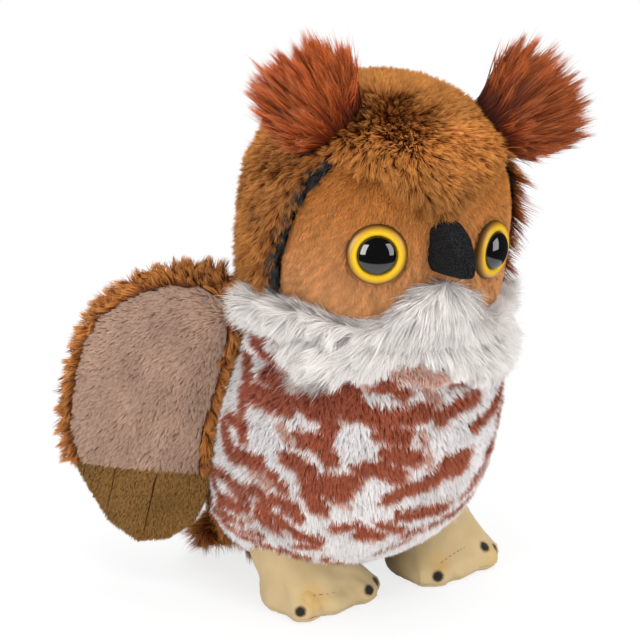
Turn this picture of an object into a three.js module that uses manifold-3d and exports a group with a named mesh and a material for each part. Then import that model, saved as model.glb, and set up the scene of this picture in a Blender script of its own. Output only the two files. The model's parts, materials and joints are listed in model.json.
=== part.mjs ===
// A stuffed plush owl that stands on two flat feet, with its wings half spread.
// Millimetres, +Z up. The owl faces -Y and its own left is +X.
// Every skin panel is a sheet of pile cloth over a stuffing core, cut along its real seams.
import * as THREE from "three";
import { mergeVertices } from "three/addons/utils/BufferGeometryUtils.js";
import Module from "manifold-3d";

const wasm = await Module();
wasm.setup();

// Clearances and cloth
const SEAM = 0.35; // gap where two sewn or glued pieces meet
const CLOTH = 1.8; // backing cloth with its pressed pile

// Body and head, a rounded sack each, joined at the neck seam
const BELLY_CLEARANCE = 9; // the belly's lowest point above the floor
const NECK_HEIGHT = 99; // the neck seam above the floor
const BODY_WIDTH = 96;
const BODY_DEPTH = 89;
const RUMP_SET_BACK = 23; // how far the body leans back towards its base
const RUMP_CURVE = 1.6; // how much of that lean is near the base
const HEAD_WIDTH = 88;
const HEAD_DEPTH = 81;
const HEAD_HEIGHT = 76; // from the neck seam to the crown
const HEAD_FORWARD = 0.8; // how far the face stands out over the neck
const HEAD_TURN = -13.5; // the head is sewn on looking a little to its right
const HEAD_TILT = 4; // and leaning a little to its left
const BODY_PROFILE = [[0, 0], [0.025, 0.4], [0.09, 0.7], [0.21, 0.915], [0.36, 0.995],
  [0.53, 1], [0.7, 0.985], [0.85, 0.93], [1, 0.8]]; // [height share, girth share]
const HEAD_PROFILE = [[0, 0.87], [0.07, 0.95], [0.16, 0.985], [0.3, 1], [0.48, 1], [0.63, 0.96],
  [0.77, 0.84], [0.88, 0.66], [0.95, 0.45], [0.99, 0.2], [1, 0]];

// Seams as headings from the middle of the sack, [azimuth, elevation] in degrees.
// Azimuth 0 is the face and +90 the owl's left.
const CROWN_SEAM = [[0, 4], [20, 18], [50, 27], [66, 34], [95, 42], [130, 38], [160, 10], [180, -30]];
const TRIM_OUTER_SEAM = [[53, 30], [58, 22], [71, 2], [76, -12], [80, -30], [82, -60], [82, -78]];
const TRIM_WIDTH_ANGLE = 4.8; // the black stripe between face and hood, seen from the head's middle
const FACE_SEAM = [[0, 12], [0, -30], [0, -78]];
const NAPE_SEAM = [[180, -24], [180, -50], [180, -78]];
const SIDE_SEAM = [[98, 74], [102, 45], [109, 22], [118, 0], [123, -30], [125, -60], [125, -93]];
const BACK_SEAM = [[180, 74], [180, 0], [180, -60], [180, -93]];

// Eyes: a yellow ring on a shank, a black dome set in it, a lock washer behind the cloth
const EYE_SPACING = 41.6;
const EYE_ABOVE_NECK = 26.5;
const EYE_RING_DIAMETER = 19.2;
const EYE_RING_PROUD = 2.6;
const PUPIL_DIAMETER = 12.6;
const PUPIL_PROUD = 5.2;
const EYE_SHANK_DIAMETER = 4;
const EYE_SHANK_LENGTH = 9;
const WASHER_DIAMETER = 15;
const WASHER_THICKNESS = 1.2;
const WASHER_DEPTH = CLOTH + 1.6; // the washer lies flat behind the curved cloth
const PUPIL_RECESS = 0.6; // depth of the ring's seat for the dome
const EYE_PLATE = 1.4; // the ring's own plate, let into the cloth

// Beak: a small stuffed felt hook
const BEAK_WIDTH = 10.2;
const BEAK_LENGTH = 23;
const BEAK_HEIGHT = 16.5;
const BEAK_ABOVE_NECK = 29.5;
const BEAK_DROOP = 5.5; // how far the tip hangs below a straight beak
const BEAK_TAPER = 0.2;
const BEAK_SQUARENESS = 0.2; // how far its cross section fills out from an oval towards a box
const BEAK_PROUD_SHARE = 0.78; // the share of its length that stands out of the face

// Beard: a pad of long pile over the neck seam
const BEARD_THICKNESS = 4.5;
const BEARD_OUTLINE = [[0, 18.5], [7, 14], [14, 6], [21, 2.5], [30, 3.5], [38, 6], [50, 7], [52, -1],
  [46, -8], [37, -13], [27, -11], [18, -15], [9, -11], [0, -13]]; // left half, [x, height above the neck]

// Ear tufts: brushes of long pile in the crown seam
const TUFT_AZIMUTH = 60;
const TUFT_ABOVE_NECK = 57;
const TUFT_SEAT_DEPTH = 2; // how far the root starts inside the head's round
const TUFT_LENGTH = 33;
const TUFT_WIDTH = 37;
const TUFT_THICKNESS = 18;
// Rings of the brush, as shares of its length and width.
const TUFT_PROFILE = [[0.06, 0.5], [0.3, 0.72], [0.6, 0.95], [0.82, 0.98], [0.94, 0.7]];
const RIGHT_TUFT_LEAN = 27; // outward lean from the head's own upright, in degrees
const LEFT_TUFT_LEAN = 45;
const TUFT_FORWARD_LEAN = 10;

// Wings: two padded layers on a sewn root, with a stitched feather fringe below
const WING_AZIMUTH = 120; // where the root is sewn to the body
const WING_BELOW_NECK = 24;
const WING_SPREAD = 26; // degrees out from straight back
const WING_THICKNESS = 9.4;
const WING_OUTLINE = [[0, 20], [0, 0], [0, -18], [-3, -33], [-4, -44], [0, -54.5], [7, -62], [18, -67],
  [30, -63], [41, -53], [51, -43], [55.5, -20], [53.5, 3], [46, 15], [35, 26], [21, 33.5], [11, 35.5],
  [4, 33.5]];
const WING_CENTRE = [27, -15];
const FRINGE_LINE = -41; // where the feather fringe starts, along the root's direction
const FRINGE_SLOPE = -20; // degrees
const FRINGE_STITCHES = [14, 29, 41]; // distance of each stitched channel from the root line
const STITCH_WIDTH = 0.7;
const STITCH_DEPTH = 1.6;

// Tail: a padded flap on the rump
const TAIL_ABOVE_BELLY = 6;
const TAIL_WIDTH = 56;
const TAIL_LENGTH = 23;
const TAIL_THICKNESS = 10;
const TAIL_TIP_HEIGHT = 2; // the tip hangs just clear of the floor
const FLAP_ROUNDING = 2.6; // how late a flap's faces start to fall to its edge
const FLAP_EDGE_SHARE = 0.17; // a flap's edge thickness as a share of its middle
const BORDER_SHARE = 0.885; // how far out the inner layer of a flap reaches

// Feet: three-toed, flat underneath, tucked under the belly
const FEET_GAP = 10;
const FEET_SET_BACK = 1.5; // the middle of the stance behind the neck's middle
const FEET_STAGGER = 7; // the soft legs have settled with the left foot this far ahead of the right
const FEET_SHIFT = 3.4; // and both feet a little to the owl's left
const FOOT_WIDTH = 42;
const FOOT_LENGTH = 41;
const TOE_ANGLE = 50; // degrees between toes
const TOE_FAN = 0.25; // how much further the outer toes reach than the foot's round
const TOE_NOTCH = 0.19; // depth of the notch between toes as a share of the foot's reach
const HEEL_DRAW = 0.22; // how much narrower the foot grows from its toes to its heel
const ANKLE_WIDTH = 31;
const ANKLE_DEPTH = 27;
const ANKLE_SET_BACK = 4.5;
const ANKLE_INTO_BELLY = 20; // how far the ankle reaches up past the belly's lowest point

// Facets
const AROUND = 24;
const UP = 10;
const SEAM_STEPS = 7;
const FLAP_STEPS = 22;
const FOOT_STEPS = 26;
const EYE_STEPS = 18;
const DOME_STEPS = 5;

// Colours
const RUST_BROWN = "#96602f";
const TUFT_RUST = "#8e3f1d";
const FACE_TAN = "#bf8145";
const TRIM_BLACK = "#1d1b1b";
const WHITE_PILE = "#e6e1df";
const PRINT_MIX = "#c9a596";
const WING_TAUPE = "#a58878";
const FRINGE_OLIVE = "#7a5a33";
const FOOT_CREAM = "#d6c28f";
const EYE_YELLOW = "#f0c70c";
const GLOSS_BLACK = "#0b0b0c";
const FELT_BLACK = "#23242a";
const FIBREFILL = "#f1efea";
const WASHER_WHITE = "#e9e9e6";

const radians = THREE.MathUtils.degToRad;

// A point at an azimuth and elevation on the unit sphere.
function heading(azimuth, elevation) {
  const a = radians(azimuth);
  const e = radians(elevation);
  return new THREE.Vector3(Math.sin(a) * Math.cos(e), -Math.cos(a) * Math.cos(e), Math.sin(e));
}

// Skins rings of points into one closed surface. A ring of one point is a pole. An open end is capped flat.
function skin(rings) {
  const sumOf = (ring) => ring.reduce((sum, p) => sum.add(p), new THREE.Vector3());
  const middle = (ring) => [sumOf(ring).divideScalar(ring.length)];
  const all = [...rings];
  if (all[0].length > 1) all.unshift(middle(all[0]));
  if (all.at(-1).length > 1) all.push(middle(all.at(-1)));
  const positions = [];
  const index = [];
  const starts = all.map((ring) => {
    const start = positions.length / 3;
    ring.forEach((p) => positions.push(p.x, p.y, p.z));
    return start;
  });
  for (let i = 0; i + 1 < all.length; i++) {
    const count = Math.max(all[i].length, all[i + 1].length);
    for (let j = 0; j < count; j++) {
      const next = (j + 1) % count;
      const [a, b] = [starts[i], starts[i + 1]];
      if (all[i].length === 1) index.push(a, b + next, b + j);
      else if (all[i + 1].length === 1) index.push(a + j, a + next, b);
      else index.push(a + j, a + next, b + next, a + j, b + next, b + j);
    }
  }
  const geometry = new THREE.BufferGeometry();
  geometry.setAttribute("position", new THREE.Float32BufferAttribute(positions, 3));
  return geometry.setIndex(index);
}

// A closed geometry as a solid that can be cut and joined.
function solid(geometry) {
  geometry.deleteAttribute("normal");
  geometry.deleteAttribute("uv");
  const merged = mergeVertices(geometry, 1e-4);
  const made = new wasm.Mesh({
    numProp: 3,
    vertProperties: new Float32Array(merged.attributes.position.array),
    triVerts: new Uint32Array(merged.index.array),
  });
  return new wasm.Manifold(made);
}

// A finished solid as a named mesh.
function piece(name, made, colour, roughness) {
  const mesh = made.getMesh();
  const geometry = new THREE.BufferGeometry();
  geometry.setAttribute("position", new THREE.BufferAttribute(mesh.vertProperties.slice(), 3));
  geometry.setIndex(new THREE.BufferAttribute(mesh.triVerts.slice(), 1));
  geometry.computeVertexNormals();
  const material = new THREE.MeshStandardMaterial({ color: colour, roughness, metalness: 0 });
  const result = new THREE.Mesh(geometry, material);
  result.name = name;
  return result;
}

// A block between two heights, wide enough to trim any piece.
const TRIM_REACH = 400;
function slab(low, high) {
  const block = new THREE.BoxGeometry(TRIM_REACH, TRIM_REACH, high - low);
  return solid(block.translate(0, 0, (low + high) / 2));
}
const above = (height) => slab(height, height + TRIM_REACH);
const below = (height) => slab(height - TRIM_REACH, height);

const bodyMiddle = (share) => RUMP_SET_BACK * Math.pow(Math.max(0, 1 - share), RUMP_CURVE);
const headMiddle = (share) => -HEAD_FORWARD * Math.sin(Math.PI * Math.min(1, Math.max(0, share)) * 0.9);
const BODY = {
  start: BELLY_CLEARANCE,
  height: NECK_HEIGHT - BELLY_CLEARANCE,
  width: BODY_WIDTH,
  depth: BODY_DEPTH,
  profile: BODY_PROFILE,
  middle: bodyMiddle,
};
const HEAD = {
  start: NECK_HEIGHT,
  height: HEAD_HEIGHT,
  width: HEAD_WIDTH,
  depth: HEAD_DEPTH,
  profile: HEAD_PROFILE,
  middle: headMiddle,
};

// A sack's outline at even steps, moved outwards by grow: height, half width, half depth and set-back.
function sackRows(sack, grow) {
  const points = sack.profile.map(([height, girth]) =>
    new THREE.Vector2((girth * sack.width) / 2, sack.start + height * sack.height));
  const curve = new THREE.SplineCurve(points);
  return Array.from({ length: UP + 1 }, (_, i) => {
    const point = curve.getPoint(i / UP);
    const along = curve.getTangent(i / UP);
    const pole = point.x < 1e-6;
    const share = (point.y - sack.start) / sack.height;
    const depthShare = sack.depth / sack.width;
    const outX = pole ? 0 : along.y;
    const outZ = pole ? Math.sign(share - 0.5) : -along.x;
    return {
      height: point.y + grow * outZ,
      halfWidth: point.x + grow * outX,
      halfDepth: point.x * depthShare + grow * outX,
      back: sack.middle(share),
      pole,
    };
  });
}

// The rounded sack as a solid. Its open end runs on past the neck seam so that a trim leaves it flat.
const NECK_RUN = 9;
function sackSolid(sack, grow) {
  const rows = sackRows(sack, grow);
  const rings = rows.map((row) => row.pole
    ? [new THREE.Vector3(0, row.back, row.height)]
    : Array.from({ length: AROUND }, (_, j) => {
      const angle = (2 * Math.PI * j) / AROUND;
      const x = row.halfWidth * Math.cos(angle);
      const y = row.back + row.halfDepth * Math.sin(angle);
      return new THREE.Vector3(x, y, row.height);
    }));
  const extend = (ring, by) => ring.map((p) => p.clone().add(new THREE.Vector3(0, 0, by)));
  if (!rows[0].pole) rings.unshift(extend(rings[0], -NECK_RUN - Math.abs(grow)));
  if (!rows.at(-1).pole) rings.push(extend(rings.at(-1), NECK_RUN + Math.abs(grow)));
  return solid(skin(rings));
}

// A point on a sack's surface at a height and azimuth, moved outwards by grow, level with the height.
function sackPoint(sack, azimuth, height, grow = 0) {
  const rows = sackRows(sack, 0);
  const upper = rows.findIndex((row) => row.height >= height);
  const [low, high] = [rows[upper - 1], rows[upper]];
  const mix = (height - low.height) / (high.height - low.height);
  const at = (key) => THREE.MathUtils.lerp(low[key], high[key], mix);
  const a = radians(azimuth);
  const x = (at("halfWidth") + grow) * Math.sin(a);
  const y = at("back") - (at("halfDepth") + grow) * Math.cos(a);
  return new THREE.Vector3(x, y, height);
}

const WALL_REACH = 85; // past any skin, from the middle of its sack

// Steps each way, in degrees and millimetres, over which a sack's slope is taken.
const LEVEL_STEP = 5;
const RISE_STEP = 9;

// The directions along a sack's surface at a point: level, towards the left, and upward.
function sackSlope(sack, azimuth, height) {
  const across = (by) => sackPoint(sack, azimuth + by, height);
  const along = (by) => sackPoint(sack, azimuth, height + by);
  const level = across(LEVEL_STEP).sub(across(-LEVEL_STEP)).normalize();
  const upward = along(RISE_STEP).sub(along(-RISE_STEP)).normalize();
  return { level, upward };
}

// A thin wall that stands along a seam and cuts the cloth there.
function seamWall(centre, stops, closed = false) {
  const curve = new THREE.CatmullRomCurve3(stops.map(([az, el]) => heading(az, el)), closed);
  const count = SEAM_STEPS * (closed ? 4 : 1);
  const near = 12;
  const sections = [];
  for (let i = 0; i < (closed ? count : count + 1); i++) {
    const out = curve.getPoint(i / count).normalize();
    const side = curve.getTangent(i / count).cross(out).normalize();
    const at = (radius, offset) => centre.clone().addScaledVector(out, radius).addScaledVector(side, offset);
    const corners = [[near, -1], [WALL_REACH, -1], [WALL_REACH, 1], [near, 1]];
    sections.push(corners.map(([radius, sign]) => at(radius, (sign * SEAM) / 2)));
  }
  if (!closed) return solid(skin(sections));
  const positions = sections.flat().flatMap((p) => [p.x, p.y, p.z]);
  const index = [];
  for (let i = 0; i < count; i++)
    for (let j = 0; j < 4; j++) {
      const [a, b] = [4 * i, 4 * ((i + 1) % count)];
      const next = (j + 1) % 4;
      index.push(a + j, a + next, b + next, a + j, b + next, b + j);
    }
  const geometry = new THREE.BufferGeometry();
  geometry.setAttribute("position", new THREE.Float32BufferAttribute(positions, 3));
  return solid(geometry.setIndex(index));
}

const mirrored = (stops) => stops.map(([az, el]) => [-az, el]);

const turnFromY = (direction) =>
  new THREE.Quaternion().setFromUnitVectors(new THREE.Vector3(0, 1, 0), direction);

// The panel, of those a cut shell fell into, that holds the cloth at a heading.
function panelAt(panels, centre, azimuth, elevation) {
  const reach = heading(azimuth, elevation).multiplyScalar(WALL_REACH);
  const needle = new THREE.ConeGeometry(0.4, reach.length(), 5);
  needle.translate(0, reach.length() / 2, 0);
  needle.applyQuaternion(turnFromY(reach.clone().normalize()));
  const probe = solid(needle.translate(centre.x, centre.y, centre.z));
  return panels.reduce((best, panel) =>
    panel.intersect(probe).volume() > best.intersect(probe).volume() ? panel : best);
}

// A straight round bar from one point along a direction, for holes and pockets.
function bar(start, direction, length, diameter, sides = 12) {
  const cylinder = new THREE.CylinderGeometry(diameter / 2, diameter / 2, length, sides);
  cylinder.translate(0, length / 2, 0);
  cylinder.applyQuaternion(turnFromY(direction));
  return solid(cylinder.translate(start.x, start.y, start.z));
}

// A profile of [radius, height] turned about the eye's axis.
function turned(profile, steps) {
  return new THREE.LatheGeometry(profile.map(([r, h]) => new THREE.Vector2(r, h)), steps);
}

// The head is drawn upright and facing forwards, then set on the neck with its turn and tilt.
const setOnNeck = (made) => made.translate([0, 0, -NECK_HEIGHT]).rotate([0, HEAD_TILT, HEAD_TURN])
  .translate([0, 0, NECK_HEIGHT]);
const neckToHead = (made) => made.translate([0, 0, -NECK_HEIGHT]).rotate([0, -HEAD_TILT, 0])
  .translate([0, 0, NECK_HEIGHT]);

const headOuter = sackSolid(HEAD, 0);
const headInner = sackSolid(HEAD, -CLOTH);
const headCleared = sackSolid(HEAD, SEAM);
const bodyOuter = sackSolid(BODY, 0);
const bodyInner = sackSolid(BODY, -CLOTH);
const bodyCleared = sackSolid(BODY, SEAM);
const aboveNeck = neckToHead(above(NECK_HEIGHT + SEAM / 2));
const belowNeck = below(NECK_HEIGHT - SEAM / 2);

const owl = new THREE.Group();
const addToHead = (name, made, colour, roughness) =>
  owl.add(piece(name, setOnNeck(made), colour, roughness));

// One eye: its seat on the face, and its parts about their own axis, which points out of the face.
function eyeSeat(side) {
  const x = (side * EYE_SPACING) / 2;
  const height = NECK_HEIGHT + EYE_ABOVE_NECK;
  const azimuth = THREE.MathUtils.radToDeg(Math.asin(x / sackPoint(HEAD, 90, height).x));
  const seat = sackPoint(HEAD, azimuth, height);
  const { level, upward } = sackSlope(HEAD, azimuth, height);
  return { seat, out: level.cross(upward).normalize() };
}

function eyeParts(side) {
  const { seat, out } = eyeSeat(side);
  const ringRadius = EYE_RING_DIAMETER / 2;
  const pupilRadius = PUPIL_DIAMETER / 2;
  const shankRadius = EYE_SHANK_DIAMETER / 2;
  const washerRadius = WASHER_DIAMETER / 2;
  const rimMiddle = (ringRadius + pupilRadius) / 2;
  const shoulder = EYE_RING_PROUD * 0.7;
  const place = (geometry) => {
    geometry.applyQuaternion(turnFromY(out));
    return solid(geometry.translate(seat.x, seat.y, seat.z));
  };
  const ring = [[0, -EYE_SHANK_LENGTH], [shankRadius, -EYE_SHANK_LENGTH], [shankRadius, -EYE_PLATE],
    [ringRadius * 0.94, -EYE_PLATE], [ringRadius, -EYE_PLATE * 0.3],
    [ringRadius * 0.97, EYE_RING_PROUD * 0.55], [ringRadius * 0.89, EYE_RING_PROUD * 0.9],
    [rimMiddle, EYE_RING_PROUD], [pupilRadius + SEAM, EYE_RING_PROUD * 0.8],
    [pupilRadius + SEAM, PUPIL_RECESS], [0, PUPIL_RECESS]];
  const dome = [[0, PUPIL_RECESS + SEAM], [pupilRadius, PUPIL_RECESS + SEAM]];
  for (let i = 1; i <= DOME_STEPS; i++) {
    const a = (Math.PI / 2) * (i / DOME_STEPS);
    const rise = (PUPIL_PROUD - shoulder) * Math.sin(a);
    dome.push([i === DOME_STEPS ? 0 : pupilRadius * Math.cos(a), shoulder + rise]);
  }
  const hole = shankRadius + SEAM;
  const washerBack = -WASHER_DEPTH - WASHER_THICKNESS;
  const washer = [[hole, washerBack], [washerRadius, washerBack], [washerRadius, -WASHER_DEPTH],
    [hole, -WASHER_DEPTH], [hole, washerBack]];
  const inward = out.clone().negate();
  const outside = seat.clone().addScaledVector(out, CLOTH);
  const shankRoom = bar(outside, inward, EYE_SHANK_LENGTH + 2 * CLOTH, EYE_SHANK_DIAMETER + SEAM);
  return {
    ring: place(turned(ring, EYE_STEPS)).subtract(headCleared.subtract(shankRoom)),
    dome: place(turned(dome, EYE_STEPS)),
    washer: place(turned(washer, EYE_STEPS)),
    hole: bar(outside, inward, 3 * CLOTH, 2 * hole),
    pocket: bar(seat, inward, WASHER_DEPTH + WASHER_THICKNESS + SEAM, WASHER_DIAMETER + 2 * SEAM)
      .add(bar(seat, inward, EYE_SHANK_LENGTH + SEAM, 2 * hole)),
  };
}

// The head: seven sewn panels over one core.
function addHead() {
  const eyes = { left: eyeParts(1), right: eyeParts(-1) };
  const centre = new THREE.Vector3(0, headMiddle(0.5), NECK_HEIGHT + HEAD_HEIGHT * 0.48);
  const trimWidth = (elevation) => TRIM_WIDTH_ANGLE / Math.max(0.5, Math.cos(radians(elevation)));
  const innerStop = ([azimuth, elevation]) => [azimuth - trimWidth(elevation), elevation];
  const trimInner = TRIM_OUTER_SEAM.map(innerStop);
  const crownLoop = [...CROWN_SEAM, ...mirrored(CROWN_SEAM.slice(1, -1)).reverse()];
  const shell = headOuter.subtract(headInner).intersect(aboveNeck);
  const walls = [seamWall(centre, crownLoop, true)];
  walls.push(seamWall(centre, FACE_SEAM), seamWall(centre, NAPE_SEAM));
  for (const stops of [TRIM_OUTER_SEAM, trimInner])
    walls.push(seamWall(centre, stops), seamWall(centre, mirrored(stops)));
  const panels = walls.reduce((cloth, wall) => cloth.subtract(wall), shell).decompose();
  const at = (azimuth, elevation) => panelAt(panels, centre, azimuth, elevation);
  const [trimOuter, trimElevation] = TRIM_OUTER_SEAM[2];
  const trimAzimuth = trimOuter - TRIM_WIDTH_ANGLE / 2;
  addToHead("crown_panel", at(0, 80), RUST_BROWN, 1);
  for (const [name, side] of [["left", 1], ["right", -1]]) {
    const eye = eyes[name];
    addToHead(`hood_${name}`, at(side * 120, -10), RUST_BROWN, 1);
    addToHead(`face_disc_${name}`, at(side * 30, -20).subtract(eye.hole), FACE_TAN, 1);
    addToHead(`face_trim_${name}`, at(side * trimAzimuth, trimElevation), TRIM_BLACK, 1);
    addToHead(`eye_ring_${name}`, eye.ring, EYE_YELLOW, 0.12);
    addToHead(`pupil_${name}`, eye.dome, GLOSS_BLACK, 0.04);
    addToHead(`eye_washer_${name}`, eye.washer, WASHER_WHITE, 0.5);
  }
  const core = sackSolid(HEAD, -CLOTH - SEAM).intersect(aboveNeck);
  addToHead("head_stuffing", core.subtract(eyes.left.pocket).subtract(eyes.right.pocket), FIBREFILL, 1);
}

// The body: a printed front and two back panels over one core.
function addBody() {
  const centre = new THREE.Vector3(0, bodyMiddle(0.5), BELLY_CLEARANCE + BODY.height / 2);
  const shell = bodyOuter.subtract(bodyInner).intersect(belowNeck);
  const seams = [SIDE_SEAM, mirrored(SIDE_SEAM), BACK_SEAM];
  const walls = seams.map((stops) => seamWall(centre, stops));
  const panels = walls.reduce((cloth, wall) => cloth.subtract(wall), shell).decompose();
  const at = (azimuth, elevation) => panelAt(panels, centre, azimuth, elevation);
  owl.add(piece("body_front_panel", at(0, 0), PRINT_MIX, 1));
  owl.add(piece("body_back_left", at(135, 0), RUST_BROWN, 1));
  owl.add(piece("body_back_right", at(-135, 0), RUST_BROWN, 1));
  owl.add(piece("body_stuffing", sackSolid(BODY, -CLOTH - SEAM).intersect(belowNeck), FIBREFILL, 1));
}

// An outline in x and height, pushed out through the front of the owl.
function frontPrism(outline, depth) {
  const shape = new THREE.Shape(outline.map(([x, height]) => new THREE.Vector2(x, height)));
  const block = new THREE.ExtrudeGeometry(shape, { depth, bevelEnabled: false });
  return solid(block.rotateX(Math.PI / 2));
}

// The beard: a pad that covers the neck seam and the foot of the face.
function addBeard() {
  const otherHalf = BEARD_OUTLINE.slice(1, -1).map(([x, height]) => [-x, height]).reverse();
  const outline = [...BEARD_OUTLINE, ...otherHalf];
  const outer = setOnNeck(sackSolid(HEAD, BEARD_THICKNESS)).add(sackSolid(BODY, BEARD_THICKNESS));
  const inner = setOnNeck(headCleared).add(bodyCleared);
  const front = setOnNeck(frontPrism(outline.map(([x, height]) => [x, NECK_HEIGHT + height]), BODY_DEPTH));
  owl.add(piece("beard", outer.subtract(inner).intersect(front), WHITE_PILE, 1));
}

// The beak: a rounded wedge whose tip droops, seated on the middle seam of the face.
function addBeak() {
  const height = NECK_HEIGHT + BEAK_ABOVE_NECK;
  const root = sackPoint(HEAD, 0, height).y;
  const form = new THREE.SphereGeometry(1, 16, 10).rotateX(Math.PI / 2);
  form.deleteAttribute("normal");
  form.deleteAttribute("uv");
  const merged = mergeVertices(form, 1e-4);
  const position = merged.attributes.position;
  for (let i = 0; i < position.count; i++) {
    const forward = Math.max(0, -position.getY(i));
    const round = Math.atan2(position.getZ(i), position.getX(i));
    const corner = 1 + BEAK_SQUARENESS * Math.sin(2 * round) ** 2;
    const taper = corner * (1 - BEAK_TAPER * forward * forward);
    const x = position.getX(i) * (BEAK_WIDTH / 2) * taper;
    const z = position.getZ(i) * (BEAK_HEIGHT / 2) * taper - BEAK_DROOP * forward * forward;
    position.setXYZ(i, x, root + position.getY(i) * BEAK_LENGTH * BEAK_PROUD_SHARE, height + z);
  }
  addToHead("beak", solid(merged).subtract(headCleared), FELT_BLACK, 0.9);
}

// A flattened brush of pile along a direction, with its wide side across the owl.
function tuft(side, lean) {
  const root = sackPoint(HEAD, side * TUFT_AZIMUTH, NECK_HEIGHT + TUFT_ABOVE_NECK, -TUFT_SEAT_DEPTH);
  const out = new THREE.Vector3(side * Math.sin(radians(lean)), -Math.sin(radians(TUFT_FORWARD_LEAN)),
    Math.cos(radians(lean))).normalize();
  const across = new THREE.Vector3(0, -1, 0).cross(out).normalize();
  const through = out.clone().cross(across);
  const sides = 15;
  const rings = TUFT_PROFILE.map(([along, share]) => Array.from({ length: sides }, (_, j) => {
    const angle = (2 * Math.PI * j) / sides;
    const flute = 1 + 0.07 * Math.cos(5 * angle);
    return root.clone()
      .addScaledVector(out, along * TUFT_LENGTH)
      .addScaledVector(across, (share * flute * TUFT_WIDTH * Math.cos(angle)) / 2)
      .addScaledVector(through, (share * flute * TUFT_THICKNESS * Math.sin(angle)) / 2);
  }));
  const pole = (along) => [root.clone().addScaledVector(out, along)];
  return solid(skin([pole(-TUFT_SEAT_DEPTH / 2), ...rings, pole(TUFT_LENGTH)]));
}

function addTufts() {
  addToHead("ear_tuft_left", tuft(1, LEFT_TUFT_LEAN).subtract(headCleared), TUFT_RUST, 1);
  addToHead("ear_tuft_right", tuft(-1, RIGHT_TUFT_LEAN).subtract(headCleared), TUFT_RUST, 1);
}

// A padded flap in its own plane, x away from its root and z through it: cover, batting and lining.
// The cover wraps the edge and the lining lies inside that border, on the +z side.
function flap(outline, centre, thickness) {
  const points = new THREE.SplineCurve([...outline, outline[0]].map(([x, y]) => new THREE.Vector2(x, y)))
    .getSpacedPoints(FLAP_STEPS).slice(0, -1);
  const swell = (share) => FLAP_EDGE_SHARE + (1 - FLAP_EDGE_SHARE) * (1 - Math.pow(share, FLAP_ROUNDING));
  const half = (share) => (thickness / 2) * swell(share);
  const middle = new THREE.Vector2(centre[0], centre[1]);
  const ring = (share, z) => (share === 0 ? [middle] : points.map((p) => middle.clone().lerp(p, share)))
    .map((p) => new THREE.Vector3(p.x, p.y, z));
  const face = (shares, height) => shares.map((share) => ring(share, height(share)));
  const inside = (share) => half(share) - CLOTH;
  const out = [0, 0.35, 0.6, 0.8, 0.92, 1];
  const lip = BORDER_SHARE - 0.015;
  const full = skin([...face(out, (s) => -half(s)), ...face([...out].reverse(), half)]);
  const cover = skin([...face(out, (s) => -half(s)), ...face([1, 0.95, BORDER_SHARE], half),
    ...face([BORDER_SHARE - 0.01, 0.7, 0.35, 0], (s) => -inside(s))]);
  const batting = skin([...face([0, 0.35, 0.6, 0.78], (s) => SEAM - inside(s)),
    ...face([0.78, 0.6, 0.35, 0], (s) => inside(s) - SEAM)]);
  const lining = skin([...face([0, 0.35, 0.6, 0.8, lip], inside), ...face([lip, 0.8, 0.6, 0.35, 0], half)]);
  return { full: solid(full), cover: solid(cover), batting: solid(batting), lining: solid(lining) };
}

// A right-handed frame at a point: x away from the body, y along the sewn root.
function rootFrame(group, point, away, along) {
  const y = along.clone().normalize();
  const x = away.clone().addScaledVector(y, -away.dot(y)).normalize();
  const z = x.clone().cross(y);
  group.matrixAutoUpdate = false;
  group.matrix.makeBasis(x, y, z).setPosition(point);
  return group;
}

// The hinge line of a flap runs along the body's surface, clear of it by the rolled edge.
function rootSeat(azimuth, height, thickness) {
  const clear = (thickness / 2) * FLAP_EDGE_SHARE + SEAM;
  const { level, upward } = sackSlope(BODY, azimuth, height);
  const out = level.cross(upward).normalize();
  return { point: sackPoint(BODY, azimuth, height).addScaledVector(out, clear), along: upward };
}

// The plane that parts the feather fringe from the padded wing.
function fringeCut(gap) {
  const block = new THREE.BoxGeometry(TRIM_REACH, TRIM_REACH, TRIM_REACH);
  block.translate(0, -TRIM_REACH / 2 - gap / 2, 0).rotateZ(radians(FRINGE_SLOPE));
  return solid(block.translate(WING_CENTRE[0], FRINGE_LINE, 0));
}

// Both wings are the same pieces, mirrored.
function addWing(name, side) {
  const thickness = WING_THICKNESS;
  const { full, cover, batting, lining } = flap(WING_OUTLINE, WING_CENTRE, thickness);
  const under = fringeCut(SEAM);
  const overlap = fringeCut(-SEAM);
  const channels = FRINGE_STITCHES.map((x) => {
    const groove = new THREE.BoxGeometry(STITCH_WIDTH, 2 * TRIM_REACH, TRIM_REACH);
    return solid(groove.translate(x, 0, 0));
  });
  const coreOfFringe = flap(WING_OUTLINE, WING_CENTRE, thickness - 2 * STITCH_DEPTH).full;
  const stitched = (made, channel) => made.subtract(channel.subtract(coreOfFringe));
  const fringe = channels.reduce(stitched, full.intersect(under));
  const seat = rootSeat(WING_AZIMUTH, NECK_HEIGHT - WING_BELOW_NECK, thickness);
  const spread = radians(WING_SPREAD);
  const away = new THREE.Vector3(Math.sin(spread), Math.cos(spread), 0);
  const wing = rootFrame(new THREE.Group(), seat.point, away, seat.along);
  wing.add(piece(`wing_cover_${name}`, cover.subtract(overlap), RUST_BROWN, 1));
  wing.add(piece(`wing_batting_${name}`, batting.subtract(overlap), FIBREFILL, 1));
  wing.add(piece(`wing_lining_${name}`, lining.subtract(overlap), WING_TAUPE, 1));
  wing.add(piece(`wing_fringe_${name}`, fringe, FRINGE_OLIVE, 1));
  const mirror = new THREE.Group();
  mirror.scale.x = side;
  owl.add(mirror.add(wing));
}

// The tail's root lies across the rump, clear of it by the rolled edge.
function tailSeat() {
  const clear = (TAIL_THICKNESS / 2) * FLAP_EDGE_SHARE + SEAM;
  return sackPoint(BODY, 180, BELLY_CLEARANCE + TAIL_ABOVE_BELLY, clear);
}

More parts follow.
